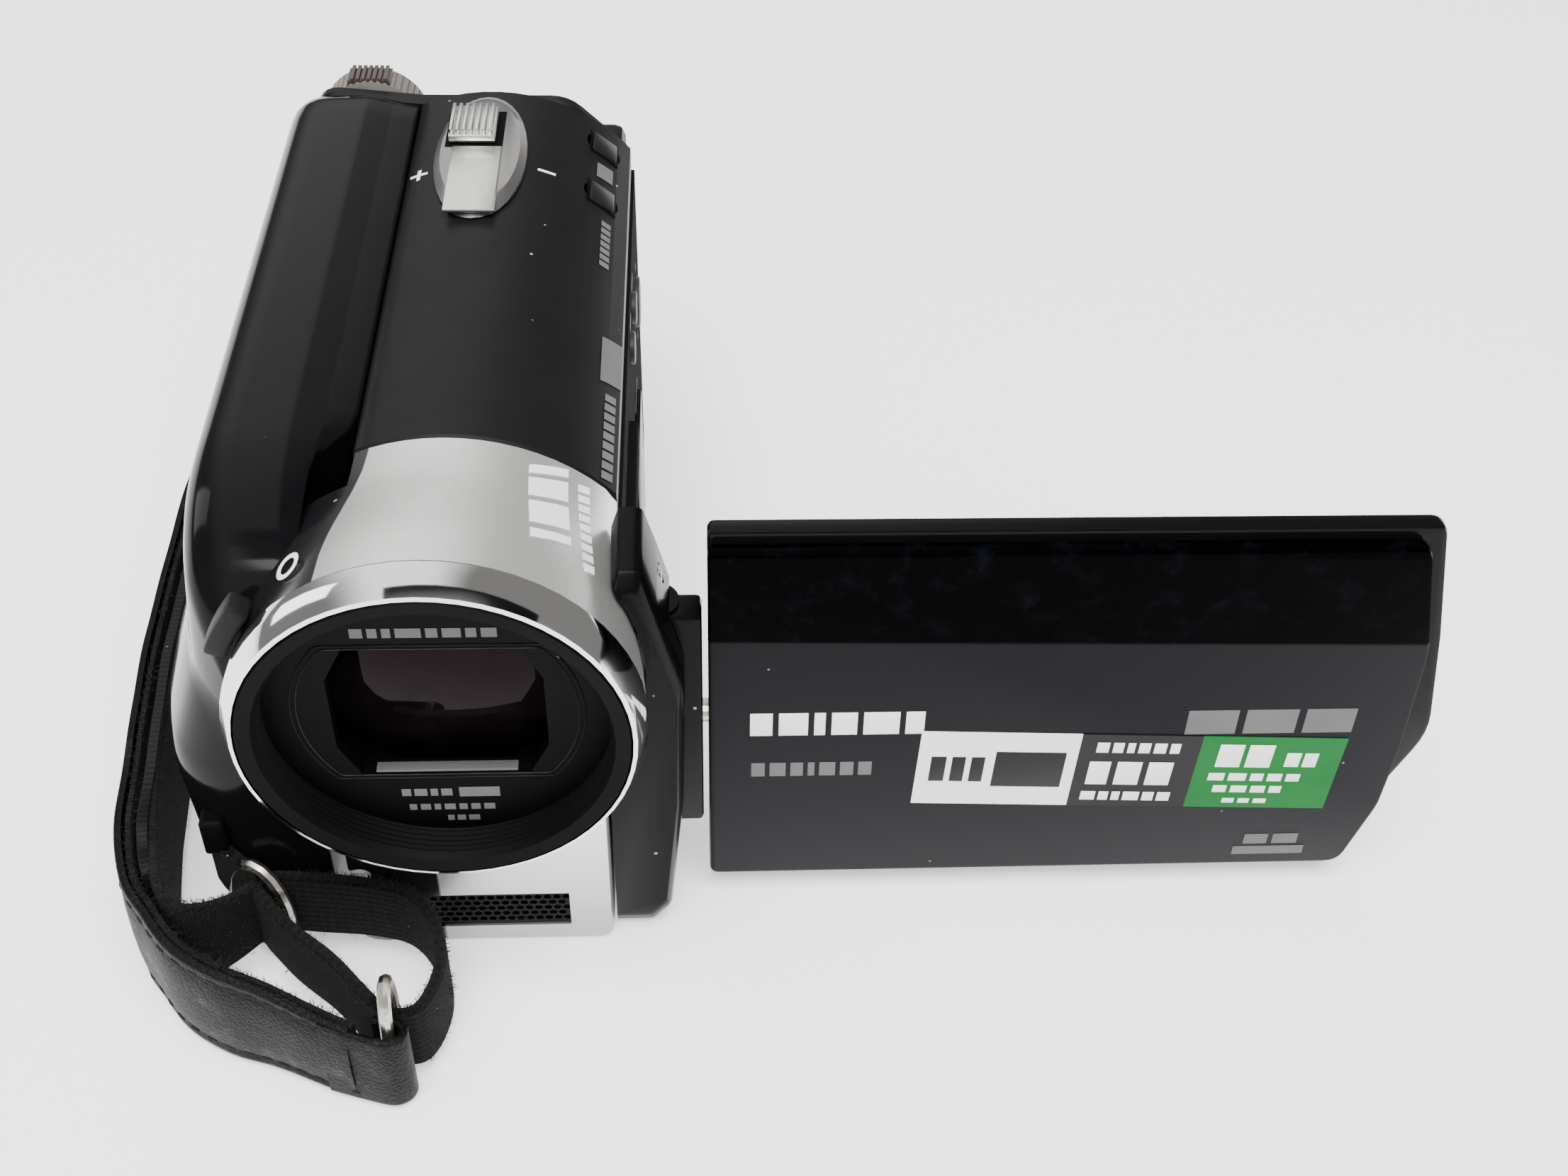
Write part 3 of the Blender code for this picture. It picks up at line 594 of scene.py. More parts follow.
def turned(piece, degrees, centre):
    """Turns a piece round the front-to-back line through centre."""
    turn = Matrix.Rotation(math.radians(degrees), 4, "Y")
    piece.data.transform(Matrix.Translation(centre) @ turn @ Matrix.Translation(-centre))
    return piece


def take_out(piece, cutter):
    cut = piece.modifiers.new("cut", "BOOLEAN")
    cut.object, cut.solver, cut.operation = cutter, "EXACT", "DIFFERENCE"
    pick(piece)
    bpy.ops.object.modifier_apply(modifier="cut")
    bpy.data.objects.remove(cutter)


def from_bmesh(mesh, name):
    made = bpy.data.objects.new(name, bpy.data.meshes.new(name))
    mesh.to_mesh(made.data)
    mesh.free()
    bpy.context.scene.collection.objects.link(made)
    return made


def settle(piece, name, body, coat, slot, round_by=0.0, smooth=35):
    """Rounds, names, finishes and mounts a piece."""
    pick(piece)
    bake_in()
    if round_by:
        rounding = piece.modifiers.new("round", "BEVEL")
        rounding.width, rounding.segments, rounding.limit_method = round_by / 1000, 2, "ANGLE"
        bpy.ops.object.modifier_apply(modifier="round")
    bpy.ops.object.mode_set(mode="EDIT")
    bpy.ops.mesh.select_all(action="SELECT")
    bpy.ops.mesh.remove_doubles(threshold=1e-6)
    bpy.ops.mesh.normals_make_consistent(inside=False)
    bpy.ops.object.mode_set(mode="OBJECT")
    bpy.ops.object.shade_smooth_by_angle(angle=math.radians(smooth))
    piece.name = piece.data.name = name
    piece.data.materials.clear()
    piece.data.materials.append(FINISHES[coat])
    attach(piece, body)
    print(name, len(piece.data.polygons), "faces on", body)
    return piece


# %% [markdown]
# A CAD solid arrives as loose triangles, so its curves look faceted. The visible shells are
# copied, their triangles merged, and the copies shaded smooth wherever the surface turns gently.


# %% Smooth shells from the solids
def shell(node, coat, slot, body):
    copy = NODES[node].copy()
    copy.data = NODES[node].data.copy()
    bpy.context.scene.collection.objects.link(copy)
    for key in list(copy.keys()):
        del copy[key]
    copy.parent = None
    pick(copy)
    bpy.ops.mesh.customdata_custom_splitnormals_clear()
    bpy.ops.object.mode_set(mode="EDIT")
    bpy.ops.mesh.select_all(action="SELECT")
    bpy.ops.mesh.remove_doubles(threshold=2e-6)
    bpy.ops.mesh.dissolve_limited(angle_limit=math.radians(0.5))
    settle(copy, node + "_shell", body, coat, slot, 0.0, 38)
    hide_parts(node)


BODIES = frame["record"]["behaviour"]["bodies"]
BODY_OF = {node: body for body, nodes in BODIES.items() for node in nodes}
SLOT_OF = {part["node"]: part["material_slot"] for part in frame["record"]["subparts"]}
COAT_OF = {node: name for name, names in DRESS.items() for node in names.split()}
for node in (
    "front_housing top_cover lens_ring lens_face_ring zoom_pod hinge_shroud hinge_block screen_cover "
    "screen_frame screen_glass side_panel rear_cover front_lens battery cover_lever select_stick "
    "menu_button delete_button record_button strap_ring_front strap_ring_rear tripod_socket "
    "status_lamp terminal_cover"
).split():
    shell(node, COAT_OF[node], SLOT_OF[node], BODY_OF[node])

# %% [markdown]
# The hull is the glossy shell that fills the palm. It is one smooth moulding, nearly flat beside
# the top cover, round at the shoulder and blunt at the front. Its outline is worked out as a
# rounded polygon for each station, the outlines are bridged, and the nose is drawn in like the
# end of an egg.


# %% Grip hull
def round_corners(corners, steps):
    """An outline whose corners (x, z, radius) are replaced by arcs of a few steps."""
    outline = []
    for k, (x, z, radius) in enumerate(corners):
        spot, before = Vector((x, z)), Vector(corners[k - 1][:2])
        after = Vector(corners[(k + 1) % len(corners)][:2])
        one, two = (before - spot).normalized(), (after - spot).normalized()
        half = math.acos(max(-1, min(1, one.dot(two)))) / 2
        reach = min(radius / math.tan(half), (before - spot).length * 0.49, (after - spot).length * 0.49)
        for j in range(steps + 1):
            t = j / steps
            outline.append(spot + one * reach * (1 - t) ** 2 + two * reach * t**2)
    return outline


def hull_outline(station):
    nose = 1 - math.sqrt(max(0.0, 1 - (max(32 - station, 0) / 24.4) ** 2.3))
    tail = max(station - 100, 0) / 3.7
    draw = 5 * (1 - math.sqrt(max(0.0, 1 - (max(14.6 - station, 0) / 6.0) ** 2))) + 0.8 * tail**2
    out, top, foot = -34.4 + 8.0 * nose + draw, 62.4 - 11.0 * nose - draw, 1.7 + draw * 0.5
    seam = -9.9 - 5.5 * min(1, max(0, (33 - station) / 9))
    crest = -18.2 + 3.0 * nose
    return round_corners(
        [
            (seam, foot, 0.4),
            (seam, top - 1.6 + 1.6 * nose, 0.5),
            (-13.2 - 1.5 * nose, top - 0.9, 2.0),
            (crest + 1.6, top, 3.0),
            (crest - 8.6 + 2.0 * nose, top - 0.4, 9.5),
            (out + 5.2 - 1.5 * nose, top - 17.0, 16.0),
            (out, 30 - 4 * nose, 14),
            (out + 1.2, 12, 8),
            (out + 7.5, foot, 5),
        ],
        7,
    )


STATIONS = [8.6 + 6.0 * (k / 12) ** 2 for k in range(13)] + [15.6 + 1.1 * k for k in range(16)]
STATIONS += [35 + 7 * k for k in range(10)] + [101, 102, 103, 103.7]
mesh = bmesh.new()
rings = [[mesh.verts.new(place(p.x, station, p.y)) for p in hull_outline(station)] for station in STATIONS]
for one, two in zip(rings, rings[1:]):
    for k in range(len(one)):
        j = (k + 1) % len(one)
        mesh.faces.new((one[k], one[j], two[j], two[k]))
mesh.faces.new(rings[0])
mesh.faces.new(rings[-1][::-1])
hull = from_bmesh(mesh, "hull")
settle(hull, "grip_hull", "camera", "gloss_black", "gloss_black", 0.0, 40)
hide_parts("grip_shell")

# %% [markdown]
# The two buttons on the shoulder are rounded squares. Each is made flat on the crown of the cover
# and then swung down round the cover's own axis, which gives it the right slope.


# %% Shoulder buttons
COVER_AXIS = place(0, 55, 38.7)
SHOULDER = 39.3
for node, body, station in (("top_button_front", "web_button", 85.3), ("top_button_rear", "auto_button", 97.7)):
    key = block((-1.9, 1.9), (station - 2.2, station + 2.2), (60.9, 62.75))
    bpy.ops.object.mode_set(mode="EDIT")
    cage = bmesh.from_edit_mesh(key.data)
    for side in cage.edges:
        side.select = abs(side.verts[0].co.z - side.verts[1].co.z) > 0.001
    cage.select_flush_mode()
    bmesh.update_edit_mesh(key.data)
    bpy.ops.mesh.bevel(offset=0.0012, segments=5, affect="EDGES")
    bpy.ops.object.mode_set(mode="OBJECT")
    turned(key, SHOULDER, COVER_AXIS)
    settle(key, node + "_cap", body, "button_black", "grey_plastic", 0.3)
    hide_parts(node)
    well = block((-2.3, 2.3), (station - 2.65, station + 2.65), (62.2, 62.44))
    turned(well, SHOULDER, COVER_AXIS)
    settle(well, node + "_rim", "camera", "matte_black", "satin_black", 0.1)

# %% [markdown]
# The zoom lever is a small ribbed slider on a bright bar. The ribs are one rounded rail, copied
# across the block, which reads better at an angle than a bump would.

# %% Zoom slider and its bright bar
rails = [block((-4.3 + 0.84 * k, -3.8 + 0.84 * k), (87.9, 94.7), (64.6, 65.55)) for k in range(7)]
slider = join([block((-4.4, 1.6), (87.4, 95.2), (63.75, 64.8)), *rails])
settle(slider, "ribbed_slider", "zoom_knob", "bright_bar", "steel", 0.16)
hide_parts("zoom_lever")
bar = block((-3.9, 2.5), (71.6, 86.9), (63.2, 63.75))
settle(bar, "pod_bar", "camera", "bright_bar", "silver_paint", 0.2)
channel = block((-4.9, 2.5), (86.9, 95.9), (63.3, 63.6))
settle(channel, "slider_channel", "camera", "matte_black", "matte_black", 0.1)

# %% [markdown]
# The mode dial is a knurled ring with a raised thumb tab, and the record button sits in its bore.
# A cylinder with many sides is bored through, and every second strip of its wall is pushed in to
# make the knurl.

# %% Mode dial
DIAL = (-17.0, 108.8, 54.6)
SIDES = 96
wheel = disc(*DIAL, 7.3, 4.2, SIDES)
bake_in()
bore = disc(*DIAL, 4.4, 6.0, 48)
bake_in()
take_out(wheel, bore)
bpy.ops.object.mode_set(mode="EDIT")
bpy.ops.mesh.select_all(action="DESELECT")
cage = bmesh.from_edit_mesh(wheel.data)
for face in cage.faces:
    way = face.calc_center_median() - place(*DIAL)
    if len(face.verts) == 4 and math.hypot(way.x, way.z) > 0.007:
        share = math.atan2(way.z, way.x) / (2 * math.pi)
        face.select = int(round(share * SIDES - 0.5)) % 2 == 0
bmesh.update_edit_mesh(wheel.data)
bpy.ops.mesh.inset(thickness=0.00005, depth=-0.00035, use_individual=True)
bpy.ops.object.mode_set(mode="OBJECT")
ribs = [block((-19.6 + 0.75 * k, -19.1 + 0.75 * k), (106.9, 110.7), (61.0, 62.3)) for k in range(7)]
tab = join([block((-20.0, -14.2), (107.0, 110.6), (59.5, 61.9)), *ribs])
settle(tab, "dial_thumb_tab", "dial", "dial_brown", "grey_plastic", 0.06)
settle(wheel, "knurled_dial", "dial", "dial_taupe", "grey_plastic", 0.06)
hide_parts("mode_dial")

# %% [markdown]
# The microphone sits behind a pierced plate. One slotted hole is modelled, copied over five
# staggered rows, and taken out of the plate in one exact boolean.

# %% Microphone grille
plate = block((-6.6, 12.0), (9.0, 9.9), (3.0, 8.8))
holes = []
for row in range(5):
    for k in range(16):
        x = -5.7 + 1.12 * k + 0.56 * (row % 2)
        if x < 11.4:
            hole = disc(x, 9.5, 4.0 + 0.98 * row, 0.37, 4.0, 12)
            hole.scale = (1.25, 1, 1)
            holes.append(hole)
cutter = join(holes)
bake_in()
take_out(plate, cutter)
settle(plate, "pierced_grille", "camera", "shroud_black", "grey_plastic", 0.0, 30)
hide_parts("mic_grille")


# %% [markdown]
# Printed marks are what makes a shell look like a product. They are plain bars of ink here, which
# stand where a maker would print words. Flat ones are thin blocks. Those on a curve are small
# planes that Shrinkwrap lays on the shell and Solidify makes as thick as ink.


# %% Ink on the flat faces
def ink(rows, station, thick=0.05):
    """Bars on a face that looks forward. Each row is (x, height above the table, height of the
    bars, their widths, the gap between them)."""
    bars = []
    for x, z, height, widths, gap in rows:
        for width in widths:
            bars.append(block((x, x + width), (station - thick, station + thick), (z, z + height)))
            x += width + gap
    return join(bars)


LENS_FACE, COVER_FACE = 4.8, 15.8
LENS_WORDS = [
    (-7.8, 55.4, 1.3, (1.3, 1.0, 0.9, 2.6, 1.2, 1.9, 1.1, 1.6), 0.45),
    (-5.2, 31.3, 1.1, (1.0, 1.4, 0.8, 1.2), 0.35),
    (1.0, 31.1, 1.5, (4.4,), 0),
    (-4.6, 29.0, 0.9, (0.8, 1.1, 0.7, 1.2, 0.9, 1.0, 1.2), 0.4),
    (-0.6, 27.2, 0.8, (0.7, 0.9, 1.2), 0.35),
]
GREY_WORDS = [
    (33.2, 21.2, 2.3, (1.6, 1.9, 1.5, 0.8, 1.9, 1.6, 1.6), 0.55),
    (84.0, 27.4, 4.0, (6.0, 6.2, 6.0), 0.9),
    (93.5, 5.2, 1.5, (9.0,), 0),
    (94.6, 7.2, 1.8, (3.0, 3.2), 0.6),
]
settle(ink(LENS_WORDS, LENS_FACE), "lens_face_print", "camera", "print_grey", "lamp_white")
bold = ink([(33.0, 28.2, 3.7, (2.6, 3.4, 1.3, 3.0, 4.2, 2.2), 0.7)], COVER_FACE)
settle(bold, "cover_name_bars", "screen", "print_white", "lamp_white", 0.25)
small = ink(GREY_WORDS, COVER_FACE)
settle(small, "cover_grey_bars", "screen", "print_grey", "grey_plastic", 0.2)

# %% [markdown]
# A shop sticker crosses the screen cover, a little askew. It is three panels of paper in one
# strip, with bars of ink where its words would be. Each colour is a piece of its own, and all are
# tilted about the same corner.


# %% Sticker
PAPER_FACE, INK_FACE, INK = 15.74, 15.64, 0.04
CORNER = place(53.0, COVER_FACE, 28.6)
SLANT = 2.6
for name, x, coat, slot in (
    ("sticker_white", (53.0, 72.0), "print_white", "lamp_white"),
    ("sticker_dark", (72.0, 86.5), "sticker_dark", "satin_black"),
    ("sticker_green", (86.5, 104.0), "sticker_green", "circuit_board"),
):
    paper = block(x, (PAPER_FACE - 0.06, PAPER_FACE + 0.1), (16.1, 28.6))
    settle(turned(paper, SLANT, CORNER), name, "screen", coat, slot)
DARK_WORDS = [(54.6, 20.2, 4.2, (1.8, 1.6, 1.6), 0.7), (62.2, 19.4, 6.0, (8.4,), 0)]
PALE_WORDS = [
    (74.0, 25.6, 1.7, (1.5, 1.3, 0.9, 1.4, 1.5, 1.2), 0.45),
    (73.6, 20.0, 4.0, (2.6, 3.0, 3.0), 0.8),
    (73.4, 17.2, 1.5, (1.8, 1.2, 1.0, 2.0, 1.4, 1.6), 0.4),
    (88.8, 23.4, 3.9, (3.0, 3.1), 0.6),
    (97.2, 23.6, 2.4, (1.8, 1.7), 0.4),
    (88.4, 21.0, 1.3, (2.0, 2.2, 1.6, 1.8, 1.7), 0.5),
    (89.4, 18.9, 1.2, (1.7, 2.0, 1.8, 1.5), 0.5),
    (91.0, 17.0, 0.8, (1.5, 1.4, 1.6), 0.5),
]
dark = turned(ink(DARK_WORDS, INK_FACE, INK), SLANT, CORNER)
settle(dark, "sticker_dark_bars", "screen", "sticker_dark", "satin_black", 0.3)
pale = turned(ink(PALE_WORDS, INK_FACE, INK), SLANT, CORNER)
settle(pale, "sticker_pale_bars", "screen", "print_white", "lamp_white", 0.15)

# %% [markdown]
# Words on a curved shell follow the curve. Each bar starts as a small grid above the crown, swings
# round to its place, and is then laid down and thickened.


# %% Ink on the curved shells
FILM = 0.00004


def grid(spot, size, cuts, turn=0.0):
    """A small flat grid of width and length size, in millimetres."""
    deselect()
    bpy.ops.mesh.primitive_grid_add(
        x_subdivisions=cuts[0], y_subdivisions=cuts[1], size=1, location=spot, rotation=(0, turn, 0)
    )
    made = bpy.context.object
    made.scale = (size[0] / 1000, size[1] / 1000, 1)
    bake_in()
    return made


def lay(bars, name, shell_name, coat):
    """Lays thin grids on a shell and gives them the thickness of ink."""
    piece = join(bars)
    onto = piece.modifiers.new("lay", "SHRINKWRAP")
    onto.target, onto.offset = bpy.data.objects[shell_name], FILM
    onto.wrap_method, onto.wrap_mode = "NEAREST_SURFACEPOINT", "ABOVE_SURFACE"
    bpy.ops.object.modifier_apply(modifier="lay")
    film = piece.modifiers.new("ink", "SOLIDIFY")
    film.thickness, film.offset = FILM, 1
    bpy.ops.object.modifier_apply(modifier="ink")
    settle(piece, name, "camera", coat, "lamp_white", 0.0, 50)


def wrap(name, rects, shell_name, coat, slant=0.0):
    """rects are (degrees from the crown, station, width round the curve, length along it)."""
    bars = []
    for degrees, station, width, length in rects:
        bar = grid(place(0, station, 62.5), (width, length), (8, 6))
        for spot in bar.data.vertices:
            spot.co.y += spot.co.x * slant
        bars.append(turned(bar, degrees, COVER_AXIS))
    lay(bars, name, shell_name, coat)


BARREL = [(28.5, 26.0, 4.6, 1.5), (28.5, 22.6, 4.6, 3.6), (28.5, 17.6, 4.6, 4.4), (28.5, 13.4, 4.6, 1.6)]
BARREL_SMALL = [(39.0, 25.6 - 1.75 * k, 1.5, 1.25) for k in range(9)]
SIDE_WORDS = [(46.5, 30.5 + 1.75 * k, 1.7, 1.3) for k in range(9)]
BUTTON_WORDS = [(41.5, 70.4 + 1.5 * k, 1.5, 1.1) for k in range(7)] + [(40.0, 91.5, 2.6, 3.4)]
ZOOM_SIGNS = [(-20.0, 84.0, 2.4, 0.5), (-20.0, 84.0, 0.5, 2.4), (20.0, 85.0, 2.4, 0.5)]
wrap("barrel_marks", BARREL, "front_housing_shell", "print_white", slant=0.4)
wrap("barrel_small_marks", BARREL_SMALL, "front_housing_shell", "print_white", slant=0.3)
wrap("side_words", SIDE_WORDS, "top_cover_shell", "print_grey", slant=0.3)
wrap("side_badge", [(46.5, 51.6, 3.4, 8.6)], "top_cover_shell", "print_grey", slant=0.3)
wrap("button_words", BUTTON_WORDS, "top_cover_shell", "print_grey", slant=0.1)
wrap("zoom_signs", ZOOM_SIGNS, "top_cover_shell", "print_white")

# %% [markdown]
# The side panel behind the screen carries small marks for its buttons. They are laid on in the
# same way, but start as grids that stand upright beside the panel.
# %% Marks on the side panel
PANEL_X = 20.6
PANEL_MARKS = [
    (70, 47.9, 3.4, 0.8), (79, 47.9, 3.6, 0.8), (92, 41.8, 1.2, 0.7),
    (92, 30.2, 1.2, 0.7), (86.2, 36, 0.7, 1.2), (97.8, 36, 0.7, 1.2),
]
PANEL_MARKS += [(76.4 + 2.1 * k, 29.0, 1.5, 0.9) for k in range(4)]
PANEL_MARKS += [(46.6 + 2.0 * k, 23.4, 1.4, 0.8) for k in range(3)]
bars = []
for station, z, length, height in PANEL_MARKS:
    bars.append(grid(place(PANEL_X, station, z), (height, length), (4, 4), math.pi / 2))
lay(bars, "panel_marks", "side_panel_shell", "print_grey")

# %% [markdown]
# Two fine lines frame the lens window: a circle cut flat above and below. The beads stand for the groove round
# the window, and their blacks, a little lighter than the mask, are a painted highlight on its edges. A curve
# draws the line, its bevel makes it a bead, and the curve is made a mesh before it is placed. The sill below the
# window is a sloped edge that catches the lamp; its light grey is a painted highlight, as the edge is as black as
# the mask. A ring mark shows the open end of the lever.


# %% Window line, sill and lever mark
def window_line(name, radius, flat, bead, coat):
    places = []
    for k in range(120):
        turn = 2 * math.pi * k / 120
        rise = max(-flat, min(flat, radius * math.sin(turn)))
        places.append(place(radius * math.cos(turn), 4.78, LENS_Z + rise))
    curve = bpy.data.curves.new(name, "CURVE")
    curve.dimensions, curve.bevel_depth, curve.bevel_resolution = "3D", bead / 1000, 1
    spline = curve.splines.new("POLY")
    spline.points.add(len(places) - 1)
    for point, spot in zip(spline.points, places):
        point.co = (*spot, 1)
    spline.use_cyclic_u = True
    made = bpy.data.objects.new(name, curve)
    bpy.context.scene.collection.objects.link(made)
    pick(made)
    bpy.ops.object.convert(target="MESH")
    settle(bpy.context.object, name, "camera", coat, "matte_black", 0.0, 60)


# The two beads' blacks, lighter than the mask, are a painted highlight along the groove.
window_line("window_line_outer", 15.3, 10.0, 0.10, "satin_black")
window_line("window_line_inner", 14.7, 9.5, 0.07, "button_black")
# The sill's light grey is a painted highlight: the window's lower wall is black like the mask and only catches
# light from above.
sill = block((-7.6, 7.6), (5.0, 6.3), (34.9, 35.25))
settle(sill, "window_sill", "camera", "grey_plastic", "matte_black", 0.1)
deselect()
bpy.ops.mesh.primitive_torus_add(
    major_radius=0.00125, minor_radius=0.0003, major_segments=32, minor_segments=8, location=place(0, 9.2, 66.15)
)
mark = bpy.context.object
mark.scale = (1, 1.15, 0.35)
bake_in()
settle(turned(mark, -39, place(0, 55, LENS_Z)), "open_mark", "camera", "print_white", "lamp_white")

# %% [markdown]
# The strap is a strip standing on its edge. A smooth line is drawn through the stations of its
# path, and a rounded section is carried along it. Leather, tape and lining share the line, each
# moved a little inward, so that they lie against each other as sewn layers do.


# %% A strip along a path
STRAP_PATH = [
    (-38.4, 97, 4, 19), (-40.0, 82, 3, 19), (-41.0, 66, 1.6, 19), (-41.3, 52, 0.6, 19),
    (-40.9, 41, 0.6, 19), (-40.3, 31, 0.6, 19), (-39.3, 21, 0.6, 19), (-38.5, 12, 0.6, 18.5),
    (-36.9, 5.6, 0.6, 17.5), (-34.5, 2.0, 0.6, 16.5), (-30.9, -2.5, 0.6, 16), (-26.2, -5.5, 0.6, 15.5),
    (-20.9, -7.5, 0.6, 14.5), (-15.2, -10.1, 0.6, 13.5), (-10.9, -11.9, 0.6, 12.5),
]
LOOP_PATH = [
    (-24.0, 7.2, 4.6, 10), (-20.2, 1.8, 4.2, 10), (-14.6, -3.0, 3.4, 10), (-10.2, -7.4, 2.6, 10),
    (-7.4, -9.6, 2.8, 9.4), (-4.2, -8.6, 1.6, 10), (-2.4, -3.6, 2.0, 10), (-3.2, 1.6, 3.0, 10),
    (-6.2, 5.2, 4.0, 10), (-11.0, 6.6, 4.6, 10), (-17.0, 7.2, 4.8, 10),
]


def smooth_line(points, closed, steps):
    """A Catmull-Rom line through the points, with steps places for each span."""
    count, line = len(points), []
    for i in range(count if closed else count - 1):
        near = [(i + k) % count if closed else min(max(i + k, 0), count - 1) for k in (-1, 0, 1, 2)]
        for j in range(steps):
            t = j / steps
            line.append([
                0.5 * (2 * b + (c - a) * t + (2 * a - 5 * b + 4 * c - d) * t * t + (3 * b - a - 3 * c + d) * t**3)
                for a, b, c, d in zip(*(points[k] for k in near))
            ])
    return line if closed else line + [list(points[-1])]


def frames_along(line, closed):
    """For each place on the line: the point, the outward direction and the length so far."""
    count, far, found = len(line), 0.0, []
    for i, (x, station, low, height) in enumerate(line):
        before = line[i - 1] if closed or i else line[i]
        after = line[(i + 1) % count] if closed or i < count - 1 else line[i]
        along = Vector((after[0] - before[0], after[1] - before[1], 0)).normalized()
        found.append((x, station, low, height, Vector((along.y, -along.x, 0)), far))
        step_to = line[(i + 1) % count]
        far += math.hypot(step_to[0] - x, step_to[1] - station)
    return found


def strip(line, closed, shift, thick, trim, section, wave=0.0):
    """A strip of cloth or leather. section lists (share of height, share of thickness) round it."""
    mesh = bmesh.new()
    uv = mesh.loops.layers.uv.new("strip")
    rings = []
    for x, station, low, height, out, far in frames_along(line, closed):
        ring = []
        for up_share, out_share in section:
            off = shift + thick * out_share
            rise = low + trim + (height - 2 * trim) * up_share + wave * math.sin(far * 0.45 + up_share)
            sway = wave * 0.5 * math.sin(far * 0.23 + 1.3)
            ring.append(mesh.verts.new(place(x + out.x * (off + sway), station + out.y * (off + sway), rise)))
        rings.append((ring, far, height))
    count = len(section)
    for i in range(len(rings) if closed else len(rings) - 1):
        (one, far, height), (two, far_two, _) = rings[i], rings[(i + 1) % len(rings)]
        far_two = far_two or far + 1.0
        for j in range(count):
            k = (j + 1) % count
            face = mesh.faces.new((one[j], two[j], two[k], one[k]))
            start, stop = section[j][0] * height, section[k][0] * height
            corners = ((far, start), (far_two, start), (far_two, stop), (far, stop))
            for loop, spot in zip(face.loops, corners):
                loop[uv].uv = (spot[0] / 1000, spot[1] / 1000)
    if not closed:
        mesh.faces.new(rings[0][0])
        mesh.faces.new(rings[-1][0][::-1])
    return from_bmesh(mesh, "strip")


STRAP_LINE = smooth_line(STRAP_PATH, False, 8)
print("strap path", round(frames_along(STRAP_LINE, False)[-1][5], 1), "mm")

# %% [markdown]
# A sewn leather strap is thin at its stitched edges and crowned in the middle, where it is
# padded. The section below has a fat middle, a narrow dip where each row of stitches pulls the
# leather down, and a rounded cut edge.

# %% Leather strap
CROWNED = [
    (0.0, -0.30), (0.0, 0.18), (0.02, 0.30), (0.06, 0.34), (0.10, 0.20), (0.14, 0.36),
    (0.3, 0.5), (0.5, 0.54), (0.7, 0.5), (0.86, 0.36), (0.90, 0.20), (0.94, 0.34),
    (0.98, 0.30), (1.0, 0.18), (1.0, -0.30), (0.9, -0.4), (0.5, -0.42), (0.1, -0.4),
]
FLAT = [
    (0.0, -0.32), (0.0, 0.32), (0.04, 0.5), (0.35, 0.5), (0.65, 0.5), (0.96, 0.5),
    (1.0, 0.32), (1.0, -0.32), (0.96, -0.5), (0.65, -0.5), (0.35, -0.5), (0.04, -0.5),
]
outer = strip(STRAP_LINE, False, 1.20, 1.5, 0.0, CROWNED, 0.12)
settle(outer, "strap_leather", "camera", "leather", "leather", 0.0, 70)
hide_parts("strap_pad")
tape = strip(STRAP_LINE, False, 0.10, 0.9, 0.35, FLAT, 0.08)
settle(tape, "strap_velvet_tape", "camera", "velvet_tape", "webbing", 0.0, 70)
LINED = 8 * 8 + 1  # the lining ends eight spans along, where the hand does
inner = strip(STRAP_LINE[:LINED], False, -1.35, 2.1, 0.8, CROWNED[::-1], 0.15)
settle(inner, "strap_lining", "camera", "lining", "leather", 0.0, 70)

# %% [markdown]
# Stitches are short threads that dive in and out along both edges. One stitch is a stretched
# sphere with few faces, and it is copied along the strap at an even pitch.


# %% Stitches
def stitches(line, name, off, rise_shares, pitch, start, stop):
    mesh = bmesh.new()
    stations = frames_along(line, False)
    size = Matrix.Diagonal((0.00075, 0.00022, 0.00024, 1))
    for share in rise_shares:
        goal = start
        for one, two in zip(stations, stations[1:]):
            while one[5] <= goal < two[5] and goal < stop:
                t = (goal - one[5]) / max(two[5] - one[5], 1e-6)
                x, station, low, height = (one[k] + (two[k] - one[k]) * t for k in range(4))
                out = one[4]
                spot = Matrix.Translation(place(x + out.x * off, station + out.y * off, low + height * share))
                along = out.cross(Vector((0, 0, 1)))
                turn = Matrix((along, out, Vector((0, 0, 1)))).transposed().to_4x4()
                bmesh.ops.create_uvsphere(mesh, u_segments=6, v_segments=5, radius=1, matrix=spot @ turn @ size)
                goal += pitch
    return from_bmesh(mesh, name)


seam = stitches(STRAP_LINE, "seam", 1.62, (0.10, 0.90), 2.3, 2, 146)
settle(seam, "strap_stitches", "camera", "thread", "webbing", 0.0, 60)

# %% [markdown]
# The strap closes through a loop of woven tape between two wire rings. The tape is thin and
# soft, so its edges wander a little.

# %% Webbing loop
LOOP_LINE = smooth_line(LOOP_PATH, True, 10)
loop = strip(LOOP_LINE, True, 0.0, 1.4, 0.0, FLAT, 0.12)
settle(loop, "webbing_loop", "camera", "webbing", "webbing", 0.0, 70)
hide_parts("strap_webbing")

# %% [markdown]
# The free end of the leather is folded round the rear ring and sewn to itself, and a short
# doubled tape holds the front ring to the body.

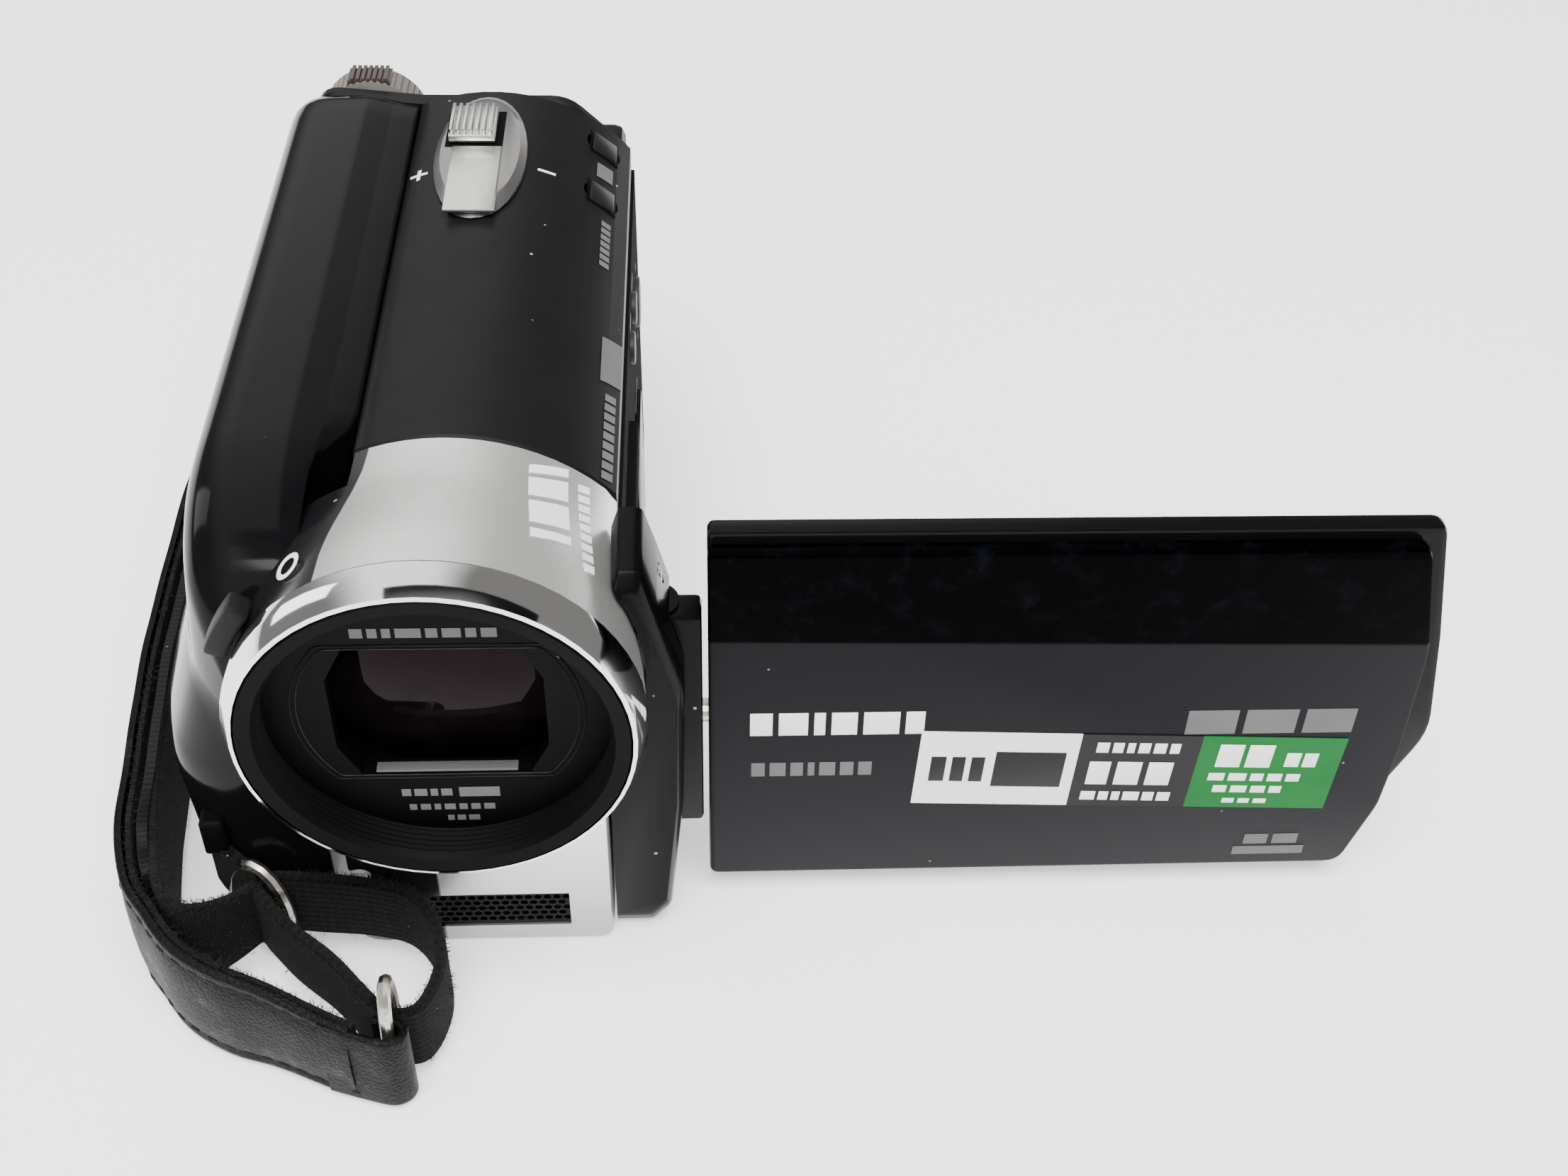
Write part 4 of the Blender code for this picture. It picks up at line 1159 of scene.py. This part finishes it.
# %% Folded ends
FOLD = [
    (-14.6, -11.9, 0.6, 12.8), (-10.6, -13.2, 0.5, 12.4), (-7.4, -14.0, 0.5, 12.0), (-5.7, -13.2, 0.5, 11.8),
    (-5.5, -11.9, 0.6, 11.6), (-6.6, -11.0, 0.7, 11.4), (-9.0, -10.6, 0.8, 11.2),
]
fold = strip(smooth_line(FOLD, False, 8), False, 0.0, 1.0, 0.0, FLAT, 0.06)
settle(fold, "strap_folded_end", "camera", "leather", "leather", 0.0, 70)
TAB = [(-28.6, 10.2, 11.5, 9.5), (-27.4, 9.0, 10.5, 8.5), (-25.6, 8.0, 10.2, 7.2), (-23.4, 7.0, 10.2, 6.4)]
tab = strip(smooth_line(TAB, False, 6), False, 0.0, 1.5, 0.0, FLAT, 0.05)
settle(tab, "front_tape_tab", "camera", "webbing", "webbing", 0.0, 70)

# %% [markdown]
# Inside the strap, the tape's long end comes back from the front ring and lies against the
# leather. It is the wide, fuzzy band that fills the space between the strap and the hull.

# %% Inner flap
FLAP = [
    (-23.4, 7.2, 5.0, 9.5), (-26.0, 4.4, 4.6, 10.5), (-28.8, 2.6, 4.0, 12), (-31.6, 2.3, 3.4, 13),
    (-33.9, 4.2, 2.8, 14), (-35.2, 8.2, 2.4, 15), (-36.6, 14, 2.2, 15.6), (-37.8, 22, 2.0, 16),
    (-38.6, 32, 2.2, 16), (-39.3, 43, 2.4, 15.6),
]
FLAP_LINE = smooth_line(FLAP, False, 9)
flap = strip(FLAP_LINE, False, 0.0, 1.3, 0.0, FLAT, 0.16)
settle(flap, "strap_inner_flap", "camera", "velvet_tape", "webbing", 0.0, 70)

# %% [markdown]
# Old hook-and-loop tape sheds a halo of short fibres. Each one is a tiny spike of three faces,
# stood on the edge or the face of the strip at a random lean. The random numbers start from a
# fixed seed, so the fuzz is the same each time.


# %% Fuzz
def fuzz(line, closed, name, count, shift, thick, trim, reach):
    chance = random.Random(name)
    mesh = bmesh.new()
    stations = frames_along(line, closed)
    for _ in range(count):
        x, station, low, height, out, _far = stations[int(len(stations) * chance.random())]
        along = out.cross(Vector((0, 0, 1)))
        rim = chance.random() < 0.45
        share = 1.0 if rim else chance.random()
        side = chance.uniform(-0.5, 0.5) if rim else chance.choice((-0.5, 0.5))
        off, slip = shift + thick * side, chance.uniform(-0.9, 0.9)
        rise = low + trim + (height - 2 * trim) * share
        root = place(x + out.x * off + along.x * slip, station + out.y * off + along.y * slip, rise)
        lean = out * (chance.uniform(-0.7, 0.7) if rim else side * 2)
        lean += Vector((0, 0, 1.0 if rim else chance.uniform(-0.4, 0.6)))
        lean = (lean + along * chance.uniform(-0.8, 0.8)).normalized()
        flat = lean.orthogonal().normalized() * 0.00005
        foot = [mesh.verts.new(root + Matrix.Rotation(2.094 * k, 3, lean) @ flat) for k in range(3)]
        tip = mesh.verts.new(root + lean * chance.uniform(0.35, 1.0) * reach / 1000)
        mesh.faces.new(foot[::-1])
        for k in range(3):
            mesh.faces.new((foot[k], foot[(k + 1) % 3], tip))
    settle(from_bmesh(mesh, name), name, "camera", "velvet_fibre", "webbing", 0.0, 60)


fuzz(STRAP_LINE, False, "tape_fuzz", 3000, 0.10, 0.9, 0.35, 1.1)
fuzz(FLAP_LINE, False, "flap_fuzz", 2600, 0.0, 1.3, 0.0, 0.8)
fuzz(LOOP_LINE, True, "loop_fuzz", 3000, 0.0, 1.4, 0.0, 0.9)

# %% [markdown]
# At the back the strap's layers end in a moulded cap on the side lug, and the battery carries a
# plain grey label.

# %% Strap cap and battery label
cap = block((-41.0, -35.2), (94.6, 100.4), (3.2, 23.8))
settle(cap, "strap_end_cap", "camera", "satin_black", "satin_black", 1.1)
label = block((-3.4, 12.4), (116.9, 117.05), (15.0, 41.0))
settle(label, "battery_label", "battery_pack", "label_grey", "satin_black")
LABEL_FACE = 117.06
LABEL_ROWS = ((3.0, 4.2, 2.6), (2.0, 3.2, 2.8, 2.4), (4.6, 1.6, 3.8), (2.2, 2.0, 3.4), (5.0, 4.4))
label_words = [(-2.0, 36.8 - 2.6 * row, 1.0, widths, 0.6) for row, widths in enumerate(LABEL_ROWS)]
label_words.append((-2.0, 17.2, 3.6, (3.6,), 0))
lines = ink(label_words, LABEL_FACE, 0.03)
settle(lines, "battery_label_bars", "battery_pack", "sticker_dark", "satin_black")

# %% [markdown]
